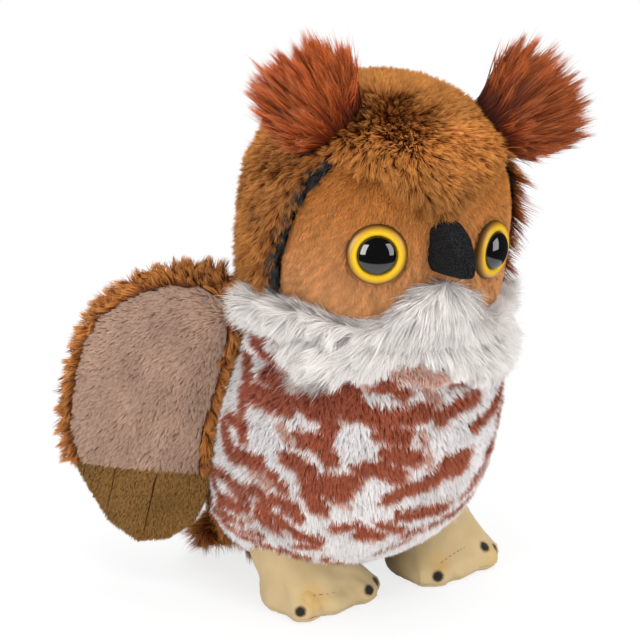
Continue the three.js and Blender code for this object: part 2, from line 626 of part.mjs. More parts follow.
// Half of the tail's outline, as shares of its length and half width. The root curves with the rump.
const TAIL_HALF_OUTLINE = [[0, 0], [-0.02, 0.4], [-0.13, 0.75], [0.2, 1], [0.52, 0.94], [0.82, 0.66],
  [0.97, 0.32], [1, 0]];

// The tail flap, a rounded fan, hinged along its sewn root.
function addTail() {
  const halfWidth = TAIL_WIDTH / 2;
  const right = TAIL_HALF_OUTLINE.map(([along, across]) => [along * TAIL_LENGTH, -across * halfWidth]);
  const left = right.slice(1, -1).map(([along, across]) => [along, -across]).reverse();
  const { cover, batting, lining } = flap([...right, ...left], [TAIL_LENGTH * 0.42, 0], TAIL_THICKNESS);
  const point = tailSeat();
  const drop = Math.asin((point.z - TAIL_TIP_HEIGHT) / TAIL_LENGTH);
  const tail = rootFrame(new THREE.Group(), point, new THREE.Vector3(0, Math.cos(drop), -Math.sin(drop)),
    new THREE.Vector3(1, 0, 0));
  tail.add(piece("tail_cover", cover, RUST_BROWN, 1));
  tail.add(piece("tail_batting", batting, FIBREFILL, 1));
  tail.add(piece("tail_lining", lining, RUST_BROWN, 1));
  owl.add(tail);
}

const FOOT_SPACING = FOOT_WIDTH + FEET_GAP;
const footMiddle = (side) =>
  new THREE.Vector3((side * FOOT_SPACING) / 2 + FEET_SHIFT, FEET_SET_BACK - (side * FEET_STAGGER) / 2, 0);

// Rings of a foot, as [height, plan scale, share of the ankle].
const FOOT_ROWS = [[0, 0.88, 0], [1.3, 0.965, 0], [3.6, 1, 0], [6.4, 0.985, 0.03], [8.8, 0.93, 0.12],
  [11.5, 0.93, 0.36], [15, 0.96, 0.64], [19, 1, 0.88], [24, 1, 1]];

// One foot with three toes, drawn in by inset, in its own frame with its middle at the origin.
function footSolid(inset) {
  const reach = (angle, fade) => {
    const across = Math.sin(angle) / (FOOT_WIDTH / 2);
    const along = Math.cos(angle) / (FOOT_LENGTH / 2);
    const degrees = THREE.MathUtils.radToDeg(angle);
    const near = (at, spread) => Math.exp(-(((degrees - at) / spread) ** 2));
    const notch = near(-TOE_ANGLE * 0.62, 9) + near(TOE_ANGLE * 0.62, 9);
    const drawn = 1 - HEEL_DRAW * (0.5 - 0.5 * Math.cos(angle));
    const fan = 1 + TOE_FAN * (near(-TOE_ANGLE, 20) + near(TOE_ANGLE, 20));
    return (drawn * fan * (1 - TOE_NOTCH * notch * fade)) / Math.hypot(across, along);
  };
  const rings = FOOT_ROWS.map(([height, scale, toAnkle]) => Array.from({ length: FOOT_STEPS }, (_, j) => {
    const angle = (2 * Math.PI * j) / FOOT_STEPS - Math.PI;
    const fan = reach(angle, Math.max(0, 1 - 2 * toAnkle)) * scale - inset;
    const plan = new THREE.Vector2(fan * Math.sin(angle), -fan * Math.cos(angle));
    const ankle = new THREE.Vector2((ANKLE_WIDTH / 2 - inset) * Math.sin(angle),
      ANKLE_SET_BACK - (ANKLE_DEPTH / 2 - inset) * Math.cos(angle));
    plan.lerp(ankle, toAnkle);
    return new THREE.Vector3(plan.x, plan.y, height);
  }));
  rings.push(rings.at(-1).map((p) => new THREE.Vector3(p.x, p.y, BELLY_CLEARANCE + ANKLE_INTO_BELLY)));
  return solid(skin(rings));
}

function addFoot(name, side) {
  const place = (made) => made.translate(footMiddle(side).toArray());
  const outer = place(footSolid(0));
  const inner = place(footSolid(CLOTH));
  const core = place(footSolid(CLOTH + SEAM));
  const overSole = above(CLOTH + SEAM);
  const upper = outer.subtract(inner).intersect(overSole).subtract(bodyCleared);
  owl.add(piece(`foot_upper_${name}`, upper, FOOT_CREAM, 1));
  owl.add(piece(`foot_sole_${name}`, outer.intersect(below(CLOTH)), FOOT_CREAM, 1));
  owl.add(piece(`foot_stuffing_${name}`, core.intersect(overSole).subtract(bodyCleared), FIBREFILL, 1));
}

addBody();
addHead();
addBeard();
addBeak();
addTufts();
addWing("left", 1);
addWing("right", -1);
addTail();
addFoot("left", 1);
addFoot("right", -1);

// The origin is on the floor under the middle of the owl's box.
owl.updateMatrixWorld(true);
const box = new THREE.Box3().setFromObject(owl, true);
const middle = box.getCenter(new THREE.Vector3());
owl.position.set(-middle.x, -middle.y, -box.min.z);

const report = (label, point) => {
  const moved = point.clone().add(owl.position).toArray().map((value) => value.toFixed(2));
  console.log(`${label}: ${moved.join(", ")}`);
};
const wingSeat = rootSeat(WING_AZIMUTH, NECK_HEIGHT - WING_BELOW_NECK, WING_THICKNESS);
report("left wing hinge", wingSeat.point);
const axis = wingSeat.along.toArray().map((value) => value.toFixed(4));
console.log(`left wing hinge axis: ${axis.join(", ")}`);
report("tail hinge", tailSeat());
report("neck", new THREE.Vector3(0, 0, NECK_HEIGHT));
report("left sole", footMiddle(1));
report("right sole", footMiddle(-1));

export default owl;
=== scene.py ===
# %% [markdown]
# A plush owl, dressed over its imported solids
# The solids give every panel of the toy its place and size. What they lack is cloth: pile,
# stitches, felt and gloss. Each step below takes one panel, keeps its solid as the cloth's
# backing and combs pile out of it, so that nothing has to be fitted by eye.
#
# The first cell reads the frame: one object for each solid, in metres, with +Z up.

# %% The frame
import json
import math
from collections import namedtuple
import bmesh
import bpy
import numpy as np
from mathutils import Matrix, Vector
from mathutils.bvhtree import BVHTree
from mathutils.kdtree import KDTree


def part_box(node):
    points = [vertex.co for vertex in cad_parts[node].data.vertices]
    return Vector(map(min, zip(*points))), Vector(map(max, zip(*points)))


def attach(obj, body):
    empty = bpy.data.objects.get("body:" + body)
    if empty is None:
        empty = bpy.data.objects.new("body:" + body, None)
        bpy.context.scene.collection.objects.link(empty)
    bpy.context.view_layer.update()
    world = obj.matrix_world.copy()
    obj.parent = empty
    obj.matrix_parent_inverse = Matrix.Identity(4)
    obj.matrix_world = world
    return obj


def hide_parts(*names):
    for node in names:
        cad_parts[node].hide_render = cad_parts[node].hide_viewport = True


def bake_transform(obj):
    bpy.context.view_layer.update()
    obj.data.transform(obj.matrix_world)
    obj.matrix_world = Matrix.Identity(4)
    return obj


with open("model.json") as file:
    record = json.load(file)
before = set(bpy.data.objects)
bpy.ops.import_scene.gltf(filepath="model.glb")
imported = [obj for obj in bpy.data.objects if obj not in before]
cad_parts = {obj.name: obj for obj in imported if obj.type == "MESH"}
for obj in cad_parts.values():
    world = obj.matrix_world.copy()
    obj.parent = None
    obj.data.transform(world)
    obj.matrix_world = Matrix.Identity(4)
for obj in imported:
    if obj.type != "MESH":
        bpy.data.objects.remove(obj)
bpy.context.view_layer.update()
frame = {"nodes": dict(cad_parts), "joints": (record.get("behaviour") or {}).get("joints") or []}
print("solids in the frame:", len(frame["nodes"]))

# %% [markdown]
# The camera stands well back with a long lens, a little above the toy and off to its right. A
# short lens from nearby would show the same toy, but with its near foot and its beak too big.

# %% The camera
MM = 1000.0
CAMERA_PLACE = (-400.2, -430.8, 250.3)
CAMERA_TARGET = (-12.41, -0.07, 95.0)
LENS, FILM_WIDTH = 101.25, 36.0


def metres(point):
    return Vector(point) / MM


def aimed(thing, place, target):
    """Puts a lamp or camera at place, looking at target, both in millimetres."""
    thing.location = metres(place)
    thing.rotation_euler = (metres(target) - metres(place)).to_track_quat("-Z", "Y").to_euler()
    bpy.context.scene.collection.objects.link(thing)
    return thing


camera = bpy.data.objects.new("photo_camera", bpy.data.cameras.new("photo_camera"))
aimed(camera, CAMERA_PLACE, CAMERA_TARGET)
camera.data.lens = LENS
camera.data.sensor_width = FILM_WIDTH
camera.data.clip_start = 0.01
bpy.context.scene.camera = camera
bpy.context.scene.view_settings.view_transform = "Standard"
print("camera to toy, mm:", round((Vector(CAMERA_PLACE) - Vector(CAMERA_TARGET)).length))

# %% [markdown]
# Shader maths reads best as sums. One class wraps a node's output socket, so that `1 - mask` or
# `spots * 0.4 + grain` adds the Math nodes for us. Every other node comes from one method.


# %% Sums on sockets
class Wire:
    """An output socket that can be used in sums."""

    def __init__(self, board, socket):
        self.board = board
        self.socket = socket

    def sum(self, operation, other, turned=False):
        """One Math node. Turned is true where this wire stands on the right."""
        pair = (other, self) if turned else (self, other)
        return self.board.node("ShaderNodeMath", {"operation": operation}, dict(enumerate(pair)))

    def __add__(self, other):
        return self.sum("ADD", other)

    def __radd__(self, other):
        return self.sum("ADD", other, True)

    def __sub__(self, other):
        return self.sum("SUBTRACT", other)

    def __rsub__(self, other):
        return self.sum("SUBTRACT", other, True)

    def __mul__(self, other):
        return self.sum("MULTIPLY", other)

    def __rmul__(self, other):
        return self.sum("MULTIPLY", other, True)

    def least(self, other):
        return self.sum("MINIMUM", other)


class Board:
    """The node tree of one material or of the world."""

    def __init__(self, tree):
        self.tree = tree
        tree.nodes.clear()

    def node(self, kind, settings=None, inputs=None, out=0):
        """A node of this kind, with its settings made first and then its sockets' values or wires."""
        made = self.tree.nodes.new(kind)
        for name, value in (settings or {}).items():
            if name == "stops":
                ramp = made.color_ramp.elements
                while len(ramp) < len(value):
                    ramp.new(0.5)
                for stop, (place, colour) in zip(ramp, value):
                    stop.position = place
                    stop.color = colour
            else:
                setattr(made, name, value)
        for name, value in (inputs or {}).items():
            socket = made.inputs[name]
            if isinstance(value, Wire):
                self.tree.links.new(value.socket, socket)
            else:
                socket.default_value = value
        return Wire(self, made.outputs[out]) if made.outputs else made

    def ramp(self, value, *stops):
        return self.node("ShaderNodeValToRGB", {"stops": stops}, {0: value})

    def step(self, value, low, high):
        """0 below low and 1 above high, smooth between."""
        smooth = {"interpolation_type": "SMOOTHSTEP"}
        return self.node("ShaderNodeMapRange", smooth, {0: value, 1: low, 2: high})

    def mix(self, share, first, second):
        return self.node("ShaderNodeMix", {"data_type": "RGBA"}, {0: share, 6: first, 7: second}, out=2)

    def scaled(self, shown, level):
        """A colour made darker or lighter."""
        return self.node("ShaderNodeVectorMath", {"operation": "SCALE"}, {0: shown, "Scale": level})

    def distance(self, place, spot):
        return self.node("ShaderNodeVectorMath", {"operation": "DISTANCE"}, {0: place, 1: spot}, out=1)

    def dented(self, height, strength, depth):
        """A normal that follows the height, for a Normal socket."""
        return self.node("ShaderNodeBump", None, {"Strength": strength, "Distance": depth, "Height": height})

    def noise(self, place, scale, detail=2.0, out=0, roughness=0.5):
        return self.node("ShaderNodeTexNoise", None,
                         {"Vector": place, "Scale": scale, "Detail": detail, "Roughness": roughness}, out=out)

    def held(self, name, out=2):
        """A value kept on the mesh: 0 its colour, 1 its vector, 2 its number."""
        return self.node("ShaderNodeAttribute", {"attribute_name": name}, out=out)


def colour(code, level=1.0):
    """A web colour as the linear values that nodes take."""
    parts = [int(code[i:i + 2], 16) / 255 for i in (1, 3, 5)]
    return [level * (p / 12.92 if p <= 0.04045 else ((p + 0.055) / 1.055) ** 2.4) for p in parts] + [1.0]


def finish_of(name):
    """A new material, its board and the method that closes it with a Principled shader."""
    material = bpy.data.materials.new(name)
    material.use_nodes = True
    board = Board(material.node_tree)

    def close(**sockets):
        named = {key.replace("_", " "): value for key, value in sockets.items()}
        shader = board.node("ShaderNodeBsdfPrincipled", None, named)
        board.node("ShaderNodeOutputMaterial", None, {"Surface": shader})
        return material

    return board, close


# %% [markdown]
# The studio is plain: a white table in a dim room, two soft boxes at the sides and a large one
# overhead. The camera sees table and backdrop as white. One set of lamps could do both jobs, but
# a box that lights pale plush evenly leaves too wide a glare on an eye. So two cards stand beside
# the boxes only for their reflections, the pale strips on the eyes. Glossy parts see them, the
# table up to its edge and then the dim room: the eyes are black above and grey below.


# %% The lamps
LAMPS_AIM = (0, -10, 110)


def softbox(name, place, width, height, watts, card=False):
    lamp = bpy.data.lights.new(name, "AREA")
    lamp.shape = "RECTANGLE"
    lamp.size = width
    lamp.size_y = height
    lamp.energy = watts
    made = aimed(bpy.data.objects.new(name, lamp), place, LAMPS_AIM)
    made.visible_glossy = card
    made.visible_diffuse = not card
    return made


softbox("left_softbox", (-1023, -129, 340), 0.26, 0.6, 4.0)
softbox("right_softbox", (60, -1038, 340), 0.26, 0.6, 4.6)
softbox("top_softbox", (-20, -110, 1150), 1.2, 1.2, 15.0)
softbox("left_card", (-960, 160, 420), 0.8, 0.75, 13.0, card=True)
softbox("right_card", (370, -920, 390), 0.7, 0.85, 6.5, card=True)

# %% [markdown]
# The table is white paper. Lit like a real one it would come out grey in places, and with enough
# light to make it white the feet would burn out. So world and table answer by the kind of ray. The
# camera meets white, with the paper's own shadow mixed in near the toy, and the light that the toy
# gets back comes from plain paper and an even room.

# %% The room and the table
WORLD_LEVEL = 0.42
ROOM_LEVEL = 0.06
FLOOR_REACH = 9.0
FLOOR_GLOW = 0.78
GLOW_FROM, GLOW_TO = 0.11, 0.3
TABLE_EDGE = (0.22, 0.26)


def rays(board):
    """1 for a ray from the camera, straight or through a clear part, and 1 for a reflection."""
    sent, mirrored, passed = (board.node("ShaderNodeLightPath", out=name) for name in
                              ("Is Camera Ray", "Is Glossy Ray", "Is Transmission Ray"))
    return (sent + passed).least(1.0), mirrored


def glow(board, level):
    return board.node("ShaderNodeEmission", None, {"Color": colour("#ffffff"), "Strength": level})


world = bpy.data.worlds.new("studio")
world.use_nodes = True
bpy.context.scene.world = world
board = Board(world.node_tree)
seen, mirrored = rays(board)
level = seen + (1.0 - seen) * (mirrored * ROOM_LEVEL + (1.0 - mirrored) * WORLD_LEVEL)
sky = board.node("ShaderNodeBackground", None, {"Color": colour("#ffffff"), "Strength": level})
board.node("ShaderNodeOutputWorld", None, {"Surface": sky})

floor_mesh = bpy.data.meshes.new("floor")
floor_mesh.from_pydata([(x * FLOOR_REACH, y * FLOOR_REACH, 0) for x, y in ((-1, -1), (1, -1), (1, 1), (-1, 1))], [],
                       [(0, 1, 2, 3)])
floor = bpy.data.objects.new("floor", floor_mesh)
bpy.context.scene.collection.objects.link(floor)
floor_paper = bpy.data.materials.new("floor_paper")
floor_paper.use_nodes = True
board = Board(floor_paper.node_tree)
seen, mirrored = rays(board)
away = board.node("ShaderNodeVectorMath", {"operation": "LENGTH"},
                  {0: board.node("ShaderNodeTexCoord", out="Object")}, out=1)
grown_white = FLOOR_GLOW + (1.0 - FLOOR_GLOW) * board.step(away, GLOW_FROM, GLOW_TO)
paper = board.node("ShaderNodeBsdfDiffuse", None, {"Color": colour("#f6f6f6")})
table = board.node("ShaderNodeMixShader", None,
                   {0: (seen + mirrored).least(1.0) * grown_white, 1: paper, 2: glow(board, 1.0)})
shown = board.node("ShaderNodeMixShader", None,
                   {0: mirrored * board.step(away, *TABLE_EDGE), 1: table, 2: glow(board, ROOM_LEVEL)})
board.node("ShaderNodeOutputMaterial", None, {"Surface": shown})
floor_mesh.materials.append(floor_paper)

# %% [markdown]
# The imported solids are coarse, so that they stay light for the physics. A copy of each is split
# until no edge is long and then eased, which rounds the facets but leaves the cut edges where
# the seams are. A subdivision modifier would round those too and pull the panels off their seams.
# Points and lengths are in millimetres here, as on a sewing pattern.


# %% Cloth from a solid
def solid_of(node):
    """A node's own solid: its points in millimetres, welded, and its triangles."""
    mesh = frame["nodes"][node].data
    mesh.calc_loop_triangles()
    points = np.empty(len(mesh.vertices) * 3)
    mesh.vertices.foreach_get("co", points)
    triangles = np.empty(len(mesh.loop_triangles) * 3, int)
    mesh.loop_triangles.foreach_get("vertices", triangles)
    points, where = np.unique((points.reshape(-1, 3) * MM).round(3), axis=0, return_inverse=True)
    triangles = where.ravel()[triangles].reshape(-1, 3)
    solid = (triangles[:, 0] != triangles[:, 1]) & (triangles[:, 1] != triangles[:, 2]) & (
        triangles[:, 0] != triangles[:, 2])
    return points, triangles[solid]


SPLIT_ROUNDS = 6


def split(points, triangles, longest):
    """The same surface with no edge longer than that."""
    cloth = bmesh.new()
    corners = [cloth.verts.new(p) for p in points]
    for a, b, c in triangles:
        cloth.faces.new((corners[a], corners[b], corners[c]))
    for _ in range(SPLIT_ROUNDS):
        long_edges = [e for e in cloth.edges if e.calc_length() > longest]
        if not long_edges:
            break
        bmesh.ops.subdivide_edges(cloth, edges=long_edges, cuts=1)
        bmesh.ops.triangulate(cloth, faces=[f for f in cloth.faces if len(f.verts) > 3])
    cloth.verts.index_update()
    points = np.array([v.co[:] for v in cloth.verts])
    triangles = np.array([[v.index for v in f.verts] for f in cloth.faces])
    cloth.free()
    return points, triangles


def face_normals(points, triangles):
    a, b, c = (points[triangles[:, i]] for i in range(3))
    out = np.cross(b - a, c - a)
    size = np.linalg.norm(out, axis=1)
    return out / np.maximum(size, 1e-12)[:, None], size / 2


def point_normals(points, triangles, kept=None):
    """Each point's normal, from the faces that are kept."""
    out, area = face_normals(points, triangles)
    if kept is not None:
        area = area * kept
    total = np.stack([sum(np.bincount(triangles[:, i], out[:, k] * area, len(points)) for i in range(3))
                      for k in range(3)], 1)
    return total / np.maximum(np.linalg.norm(total, axis=1), 1e-12)[:, None]


def edges_of(triangles):
    """Each edge once, and how sharply the surface turns there, as a cosine."""
    pairs = np.sort(np.concatenate([triangles[:, ends] for ends in ([0, 1], [1, 2], [2, 0])]), axis=1)
    faces = np.tile(np.arange(len(triangles)), 3)
    order = np.lexsort((pairs[:, 1], pairs[:, 0]))
    pairs, faces = pairs[order], faces[order]
    return pairs[::2], faces[::2], faces[1::2]


# %% Rounded facets
CREASE = 0.64
PULL_IN, PUSH_OUT = 0.5, -0.52


def eased(points, triangles, rounds, hold=True):
    """Rounds the facets without shrinking the piece. Cut edges stay if hold is true."""
    edges, one, other = edges_of(triangles)
    out, _ = face_normals(points, triangles)
    held = np.zeros(len(points), bool)
    if hold:
        held[edges[(out[one] * out[other]).sum(1) < CREASE].ravel()] = True
    count = np.bincount(edges.ravel(), minlength=len(points))
    points = points.copy()
    a, b = edges.T
    for pull in (PULL_IN, PUSH_OUT) * rounds:
        total = np.stack([np.bincount(a, points[b, k], len(points)) + np.bincount(b, points[a, k], len(points))
                          for k in range(3)], 1)
        move = total / np.maximum(count, 1)[:, None] - points
        points[~held] += pull * move[~held]
    return points


# %% [markdown]
# Pile grows only where the cloth can be seen. Painting masks by hand would do it for one toy, but
# a ray from each face does it for any: a few millimetres long, it finds the faces that lie against
# stuffing, a seam or another panel, and these stay bare.


# %% What lies open
def all_solids():
    points, triangles, start = [], [], 0
    for node in frame["nodes"]:
        mine, faces = solid_of(node)
        points.append(mine)
        triangles.append(faces + start)
        start += len(mine)
    return BVHTree.FromPolygons(np.concatenate(points).tolist(), np.concatenate(triangles).tolist())


everything = all_solids()
COVERED_WITHIN = 2.4
RAY_START = 0.12


def open_faces(points, triangles):
    out, _ = face_normals(points, triangles)
    middle = points[triangles].mean(1)
    return np.array([everything.ray_cast(Vector(m + RAY_START * n), Vector(n), COVERED_WITHIN)[0] is None
                     for m, n in zip(middle, out)])


# %% [markdown]
# Directions for the comb. The head is turned a little towards its right, so its own forward and
# sideways directions are worked out once from that turn.

# %% Directions
HEAD_TURN = math.radians(-13.5)
FORWARD = np.array([math.sin(HEAD_TURN), -math.cos(HEAD_TURN), 0.0])
SIDEWAYS = np.array([math.cos(HEAD_TURN), math.sin(HEAD_TURN), 0.0])
DOWN = np.array([0.0, 0.0, -1.0])
HEAD_MIDDLE = np.array([(a + b) / 2 * MM for a, b in zip(*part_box("head_stuffing"))])
DENSITY = 1.0
SIDES = ("left", "right")
print("middle of the head, mm:", HEAD_MIDDLE.round(1))


# %% [markdown]
# A panel has tens of thousands of strands, so these helpers take all points at once, as arrays.
# The noise is a sum of a few waves in random directions. The one that comes with Blender's maths
# module is finer, but it takes one point at a call.

# %% Small sums on many points
def tree_of(points):
    """A finder of the nearest of these points."""
    tree = KDTree(len(points))
    for i, point in enumerate(points):
        tree.insert(point, i)
    tree.balance()
    return tree


def ripple(points, size, seed, waves=8):
    """Smooth noise of about that wavelength, from about -1 to 1."""
    dice = np.random.default_rng(seed)
    total = np.zeros(len(points))
    for _ in range(waves):
        way = dice.normal(size=3)
        way *= 2 * math.pi / size * dice.uniform(0.6, 1.5) / np.linalg.norm(way)
        total += np.sin(points @ way + dice.uniform(0, 2 * math.pi))
    return total / math.sqrt(waves / 2) / 1.6


def unit(vectors):
    return vectors / np.maximum(np.linalg.norm(vectors, axis=-1, keepdims=True), 1e-12)


def along_cloth(ways, normals):
    """The part of each direction that lies in the cloth."""
    return unit(ways - (ways * normals).sum(1, keepdims=True) * normals)


# %% [markdown]
# A fibre is far thinner than a pixel, so what the eye sees is locks. Each strand here is a narrow
# ribbon that rises from the cloth, bends with the nap and is drawn towards the tip of the lock
# that it belongs to. Ribbons of three triangles let us afford a dense pile; only long hair gets
# more joints. Hair objects were the other way, but they don't leave Blender as a mesh.


# %% Where strands stand and how they are combed
Pile = namedtuple("Pile", "length lift per_mm2 width bend lock pull stray fall curl soft",
                  defaults=(0.34, 0.7, 9.0, 0.7, 0.006, 0.1, 0.0, 0.7))


def scatter(points, triangles, normals, weight, per_mm2, dice):
    """Roots spread over the faces by their area and weight, with the cloth's normal at each."""
    _, area = face_normals(points, triangles)
    area = area * weight
    count = int(area.sum() * per_mm2)
    picks = dice.choice(len(triangles), count, p=area / area.sum())
    a, b = dice.random(count), dice.random(count)
    over = a + b > 1
    a[over], b[over] = 1 - a[over], 1 - b[over]
    share = np.stack([1 - a - b, a, b], 1)[:, :, None]
    return (points[triangles[picks]] * share).sum(1), unit((normals[triangles[picks]] * share).sum(1))


LOCK_SPREAD = 0.2


def gathered(roots, tips, lock, pull, dice):
    """Tips drawn towards the tips of the locks, with about one lock to that many strands."""
    leaders = dice.choice(len(roots), max(3, int(len(roots) * (1.0 / lock))), replace=False)
    tree = tree_of(roots[leaders])
    nearest = leaders[np.array([tree.find(r)[1] for r in roots])]
    meet = tips[nearest] + LOCK_SPREAD * (roots - roots[nearest])
    return tips + (pull * dice.uniform(0.35, 1.0, len(roots)))[:, None] * (meet - tips)


WILD_LENGTH, WILD_LIFT = 1.35, 14.0
CURL_SIZE = 5.0
ROOT_SUNK = 0.5


def combed(roots, normals, ways, length, lift, pile, dice):
    """The path of each strand: root, elbow and tip."""
    count = len(roots)
    curl = pile.curl
    length = np.broadcast_to(length, count) * dice.uniform(0.72, 1.08, count)
    wild = dice.random(count) < pile.stray
    length = np.where(wild, length * WILD_LENGTH, length)
    angle = np.radians(lift + dice.normal(0, 9, count) + WILD_LIFT * wild + 22 * curl * ripple(roots, CURL_SIZE, 8))
    side = np.cross(normals, ways)
    sway = dice.normal(0, 0.2, count) + 0.25 * ripple(roots, 17, 5) + curl * ripple(roots, 4.0, 6)
    back = curl * ripple(roots, CURL_SIZE, 7)
    heading = unit((1 - np.maximum(back, 0))[:, None] * ways + sway[:, None] * side)
    first = unit(normals * np.sin(angle)[:, None] + heading * np.cos(angle)[:, None])
    second = unit(first + pile.bend * heading + pile.fall * DOWN)
    elbow = roots + first * (0.5 * length)[:, None]
    tips = elbow + second * (0.5 * length)[:, None]
    tips = gathered(roots, tips, pile.lock, pile.pull, dice)
    elbow = elbow + 0.3 * (gathered(roots, elbow, pile.lock, pile.pull, dice) - elbow)
    return roots - ROOT_SUNK * normals, elbow, tips


# %% [markdown]
# A strand's path becomes faces in one of two ways. Short pile is flat ribbons. Where a strand
# leans towards a viewer in front, its ribbon is turned over, since the back of a face would be
# lit from below. The ear tufts are seen from all around, so their hairs are closed and have three
# sides. Every point also gets its place on a map for baking: the strand's shade across, and up
# within one of a few bands its way from root to tip.

# %% Ribbons, hairs and their cloth
Part = namedtuple("Part", "points faces normals root along shade place")
SHADE_BANDS = 8
STRAND_ON_MAP = 0.0035
TURNED_SOFT = 0.3


def strand_parts(rows, faces, normals, start, alongs, spreads, shade, dice):
    """Joins the rows of points of many strands, with what each point keeps, into one part."""
    count, each = len(start), len(rows)
    along = np.tile(np.array(alongs, float), (count, 1))
    band = dice.integers(0, SHADE_BANDS, count)[:, None]
    place = np.stack([0.02 + 0.46 * shade[:, None] + STRAND_ON_MAP * np.array(spreads)[None, :],
                      (band + 0.08 + 0.84 * along) / SHADE_BANDS], 2)
    return Part(np.stack(rows, 1).reshape(-1, 3), faces, normals, np.repeat(start, each, 0), along.ravel(),
                np.repeat(shade, each), place.reshape(-1, 2))


def on_path(paths, t):
    """The point at t along each path, on a smooth bend past its elbow."""
    start, elbow, tips = paths
    return (1 - t) ** 2 * start + 2 * t * (1 - t) * elbow + t ** 2 * tips


def ribbons(paths, normals, width, shade, dice, steps=2, roll=0.5, soft=0.7):
    """Each path as a tapered ribbon that lies about flat on the pile."""
    start, _, tips = paths
    count = len(start)
    way = unit(tips - start)
    side = unit(np.cross(way, normals) + 1e-6)
    flat = np.cross(side, way)
    seen_from = normals * np.array([1.0, 1.0, 0.35]) + 0.45 * FORWARD
    facing = np.where((flat * seen_from).sum(1) < 0, -1.0, 1.0)[:, None]
    side, flat = side * facing, flat * facing
    turn = dice.normal(0, roll, count)[:, None]
    side = side * np.cos(turn) + flat * np.sin(turn)
    rows, alongs, spreads = [], [], []
    for t in np.linspace(0, 1, steps + 1)[:-1]:
        middle = on_path(paths, t)
        reach = side * (0.5 * width) * (1 - 0.55 * t)
        rows += [middle - reach, middle + reach]
        alongs += [t, t]
        spreads += [-1, 1]
    rows.append(tips)
    each = len(rows)
    base = (np.arange(count) * each)[:, None]
    quads = [np.concatenate([base + 2 * i, base + 2 * i + 1, base + 2 * i + 3, base + 2 * i + 2], 1)
             for i in range(steps - 1)]
    ends = np.concatenate([base + each - 3, base + each - 2, base + each - 1], 1)
    soft = np.where(facing > 0, soft, TURNED_SOFT)
    lean = unit(soft * normals + (1 - soft) * unit(flat) + dice.normal(0, 0.16, (count, 3)))
    return strand_parts(rows, quads + [ends], np.repeat(lean, each, 0), start, alongs + [1.0], spreads + [0],
                        shade, dice)


def hairs(paths, width, shade, dice, steps=4):
    """Each path as a closed three-sided hair that tapers to a point."""
    start, _, tips = paths
    count = len(start)
    way = unit(tips - start)
    side = unit(np.cross(way, unit(dice.normal(size=(count, 3)))))
    up = np.cross(way, side)
    rows, normals = [], []
    for t in np.arange(steps) / steps:
        for k in range(3):
            out = side * math.cos(2 * math.pi * k / 3) + up * math.sin(2 * math.pi * k / 3)
            rows.append(on_path(paths, t) + out * (0.5 * width) * (1 - 0.6 * t))
            normals.append(out)
    rows.append(tips)
    normals.append(way)
    each = len(rows)
    base = (np.arange(count) * each)[:, None]
    faces = [np.concatenate([base + 2, base + 1, base], 1)]
    for step in range(steps - 1):
        for k in range(3):
            low, high = 3 * step + k, 3 * step + (k + 1) % 3
            faces.append(np.concatenate([base + low, base + high, base + high + 3, base + low + 3], 1))
    for k in range(3):
        faces.append(np.concatenate([base + each - 4 + k, base + each - 4 + (k + 1) % 3, base + each - 1], 1))
    alongs = [t for t in np.arange(steps) / steps for _ in range(3)]
    return strand_parts(rows, faces, np.stack(normals, 1).reshape(-1, 3), start, alongs + [1.0],
                        [-1, 0, 1] * steps + [0], shade, dice)


def backing(points, triangles, shade_seed=1, soft=True):
    """The cloth itself. On the map it lies flat in the right half."""
    centred = points - points.mean(0)
    flat = centred @ np.linalg.eigh(centred.T @ centred)[1][:, ::-1][:, :2]
    flat = (flat - flat.min(0)) / np.maximum(np.ptp(flat, axis=0), 1e-9)
    place = np.stack([0.52 + 0.46 * flat[:, 0], 0.02 + 0.96 * flat[:, 1]], 1)
    normals = point_normals(points, triangles) if soft else np.zeros_like(points)
    shade = np.clip(0.5 + 0.25 * ripple(points, 18, shade_seed), 0.02, 0.98)
    return Part(points, [triangles], normals, points, np.zeros(len(points)), shade, place)


# %% [markdown]
# The parts of a piece become one mesh, so that a whole panel rides on its body at once. Building
# a mesh face by face in Python would take minutes for a million strands. Filling its arrays with
# foreach_set takes seconds, and the values that the finishes read go in the same way.

# %% One piece of the toy
TABLE_GAP = 0.15


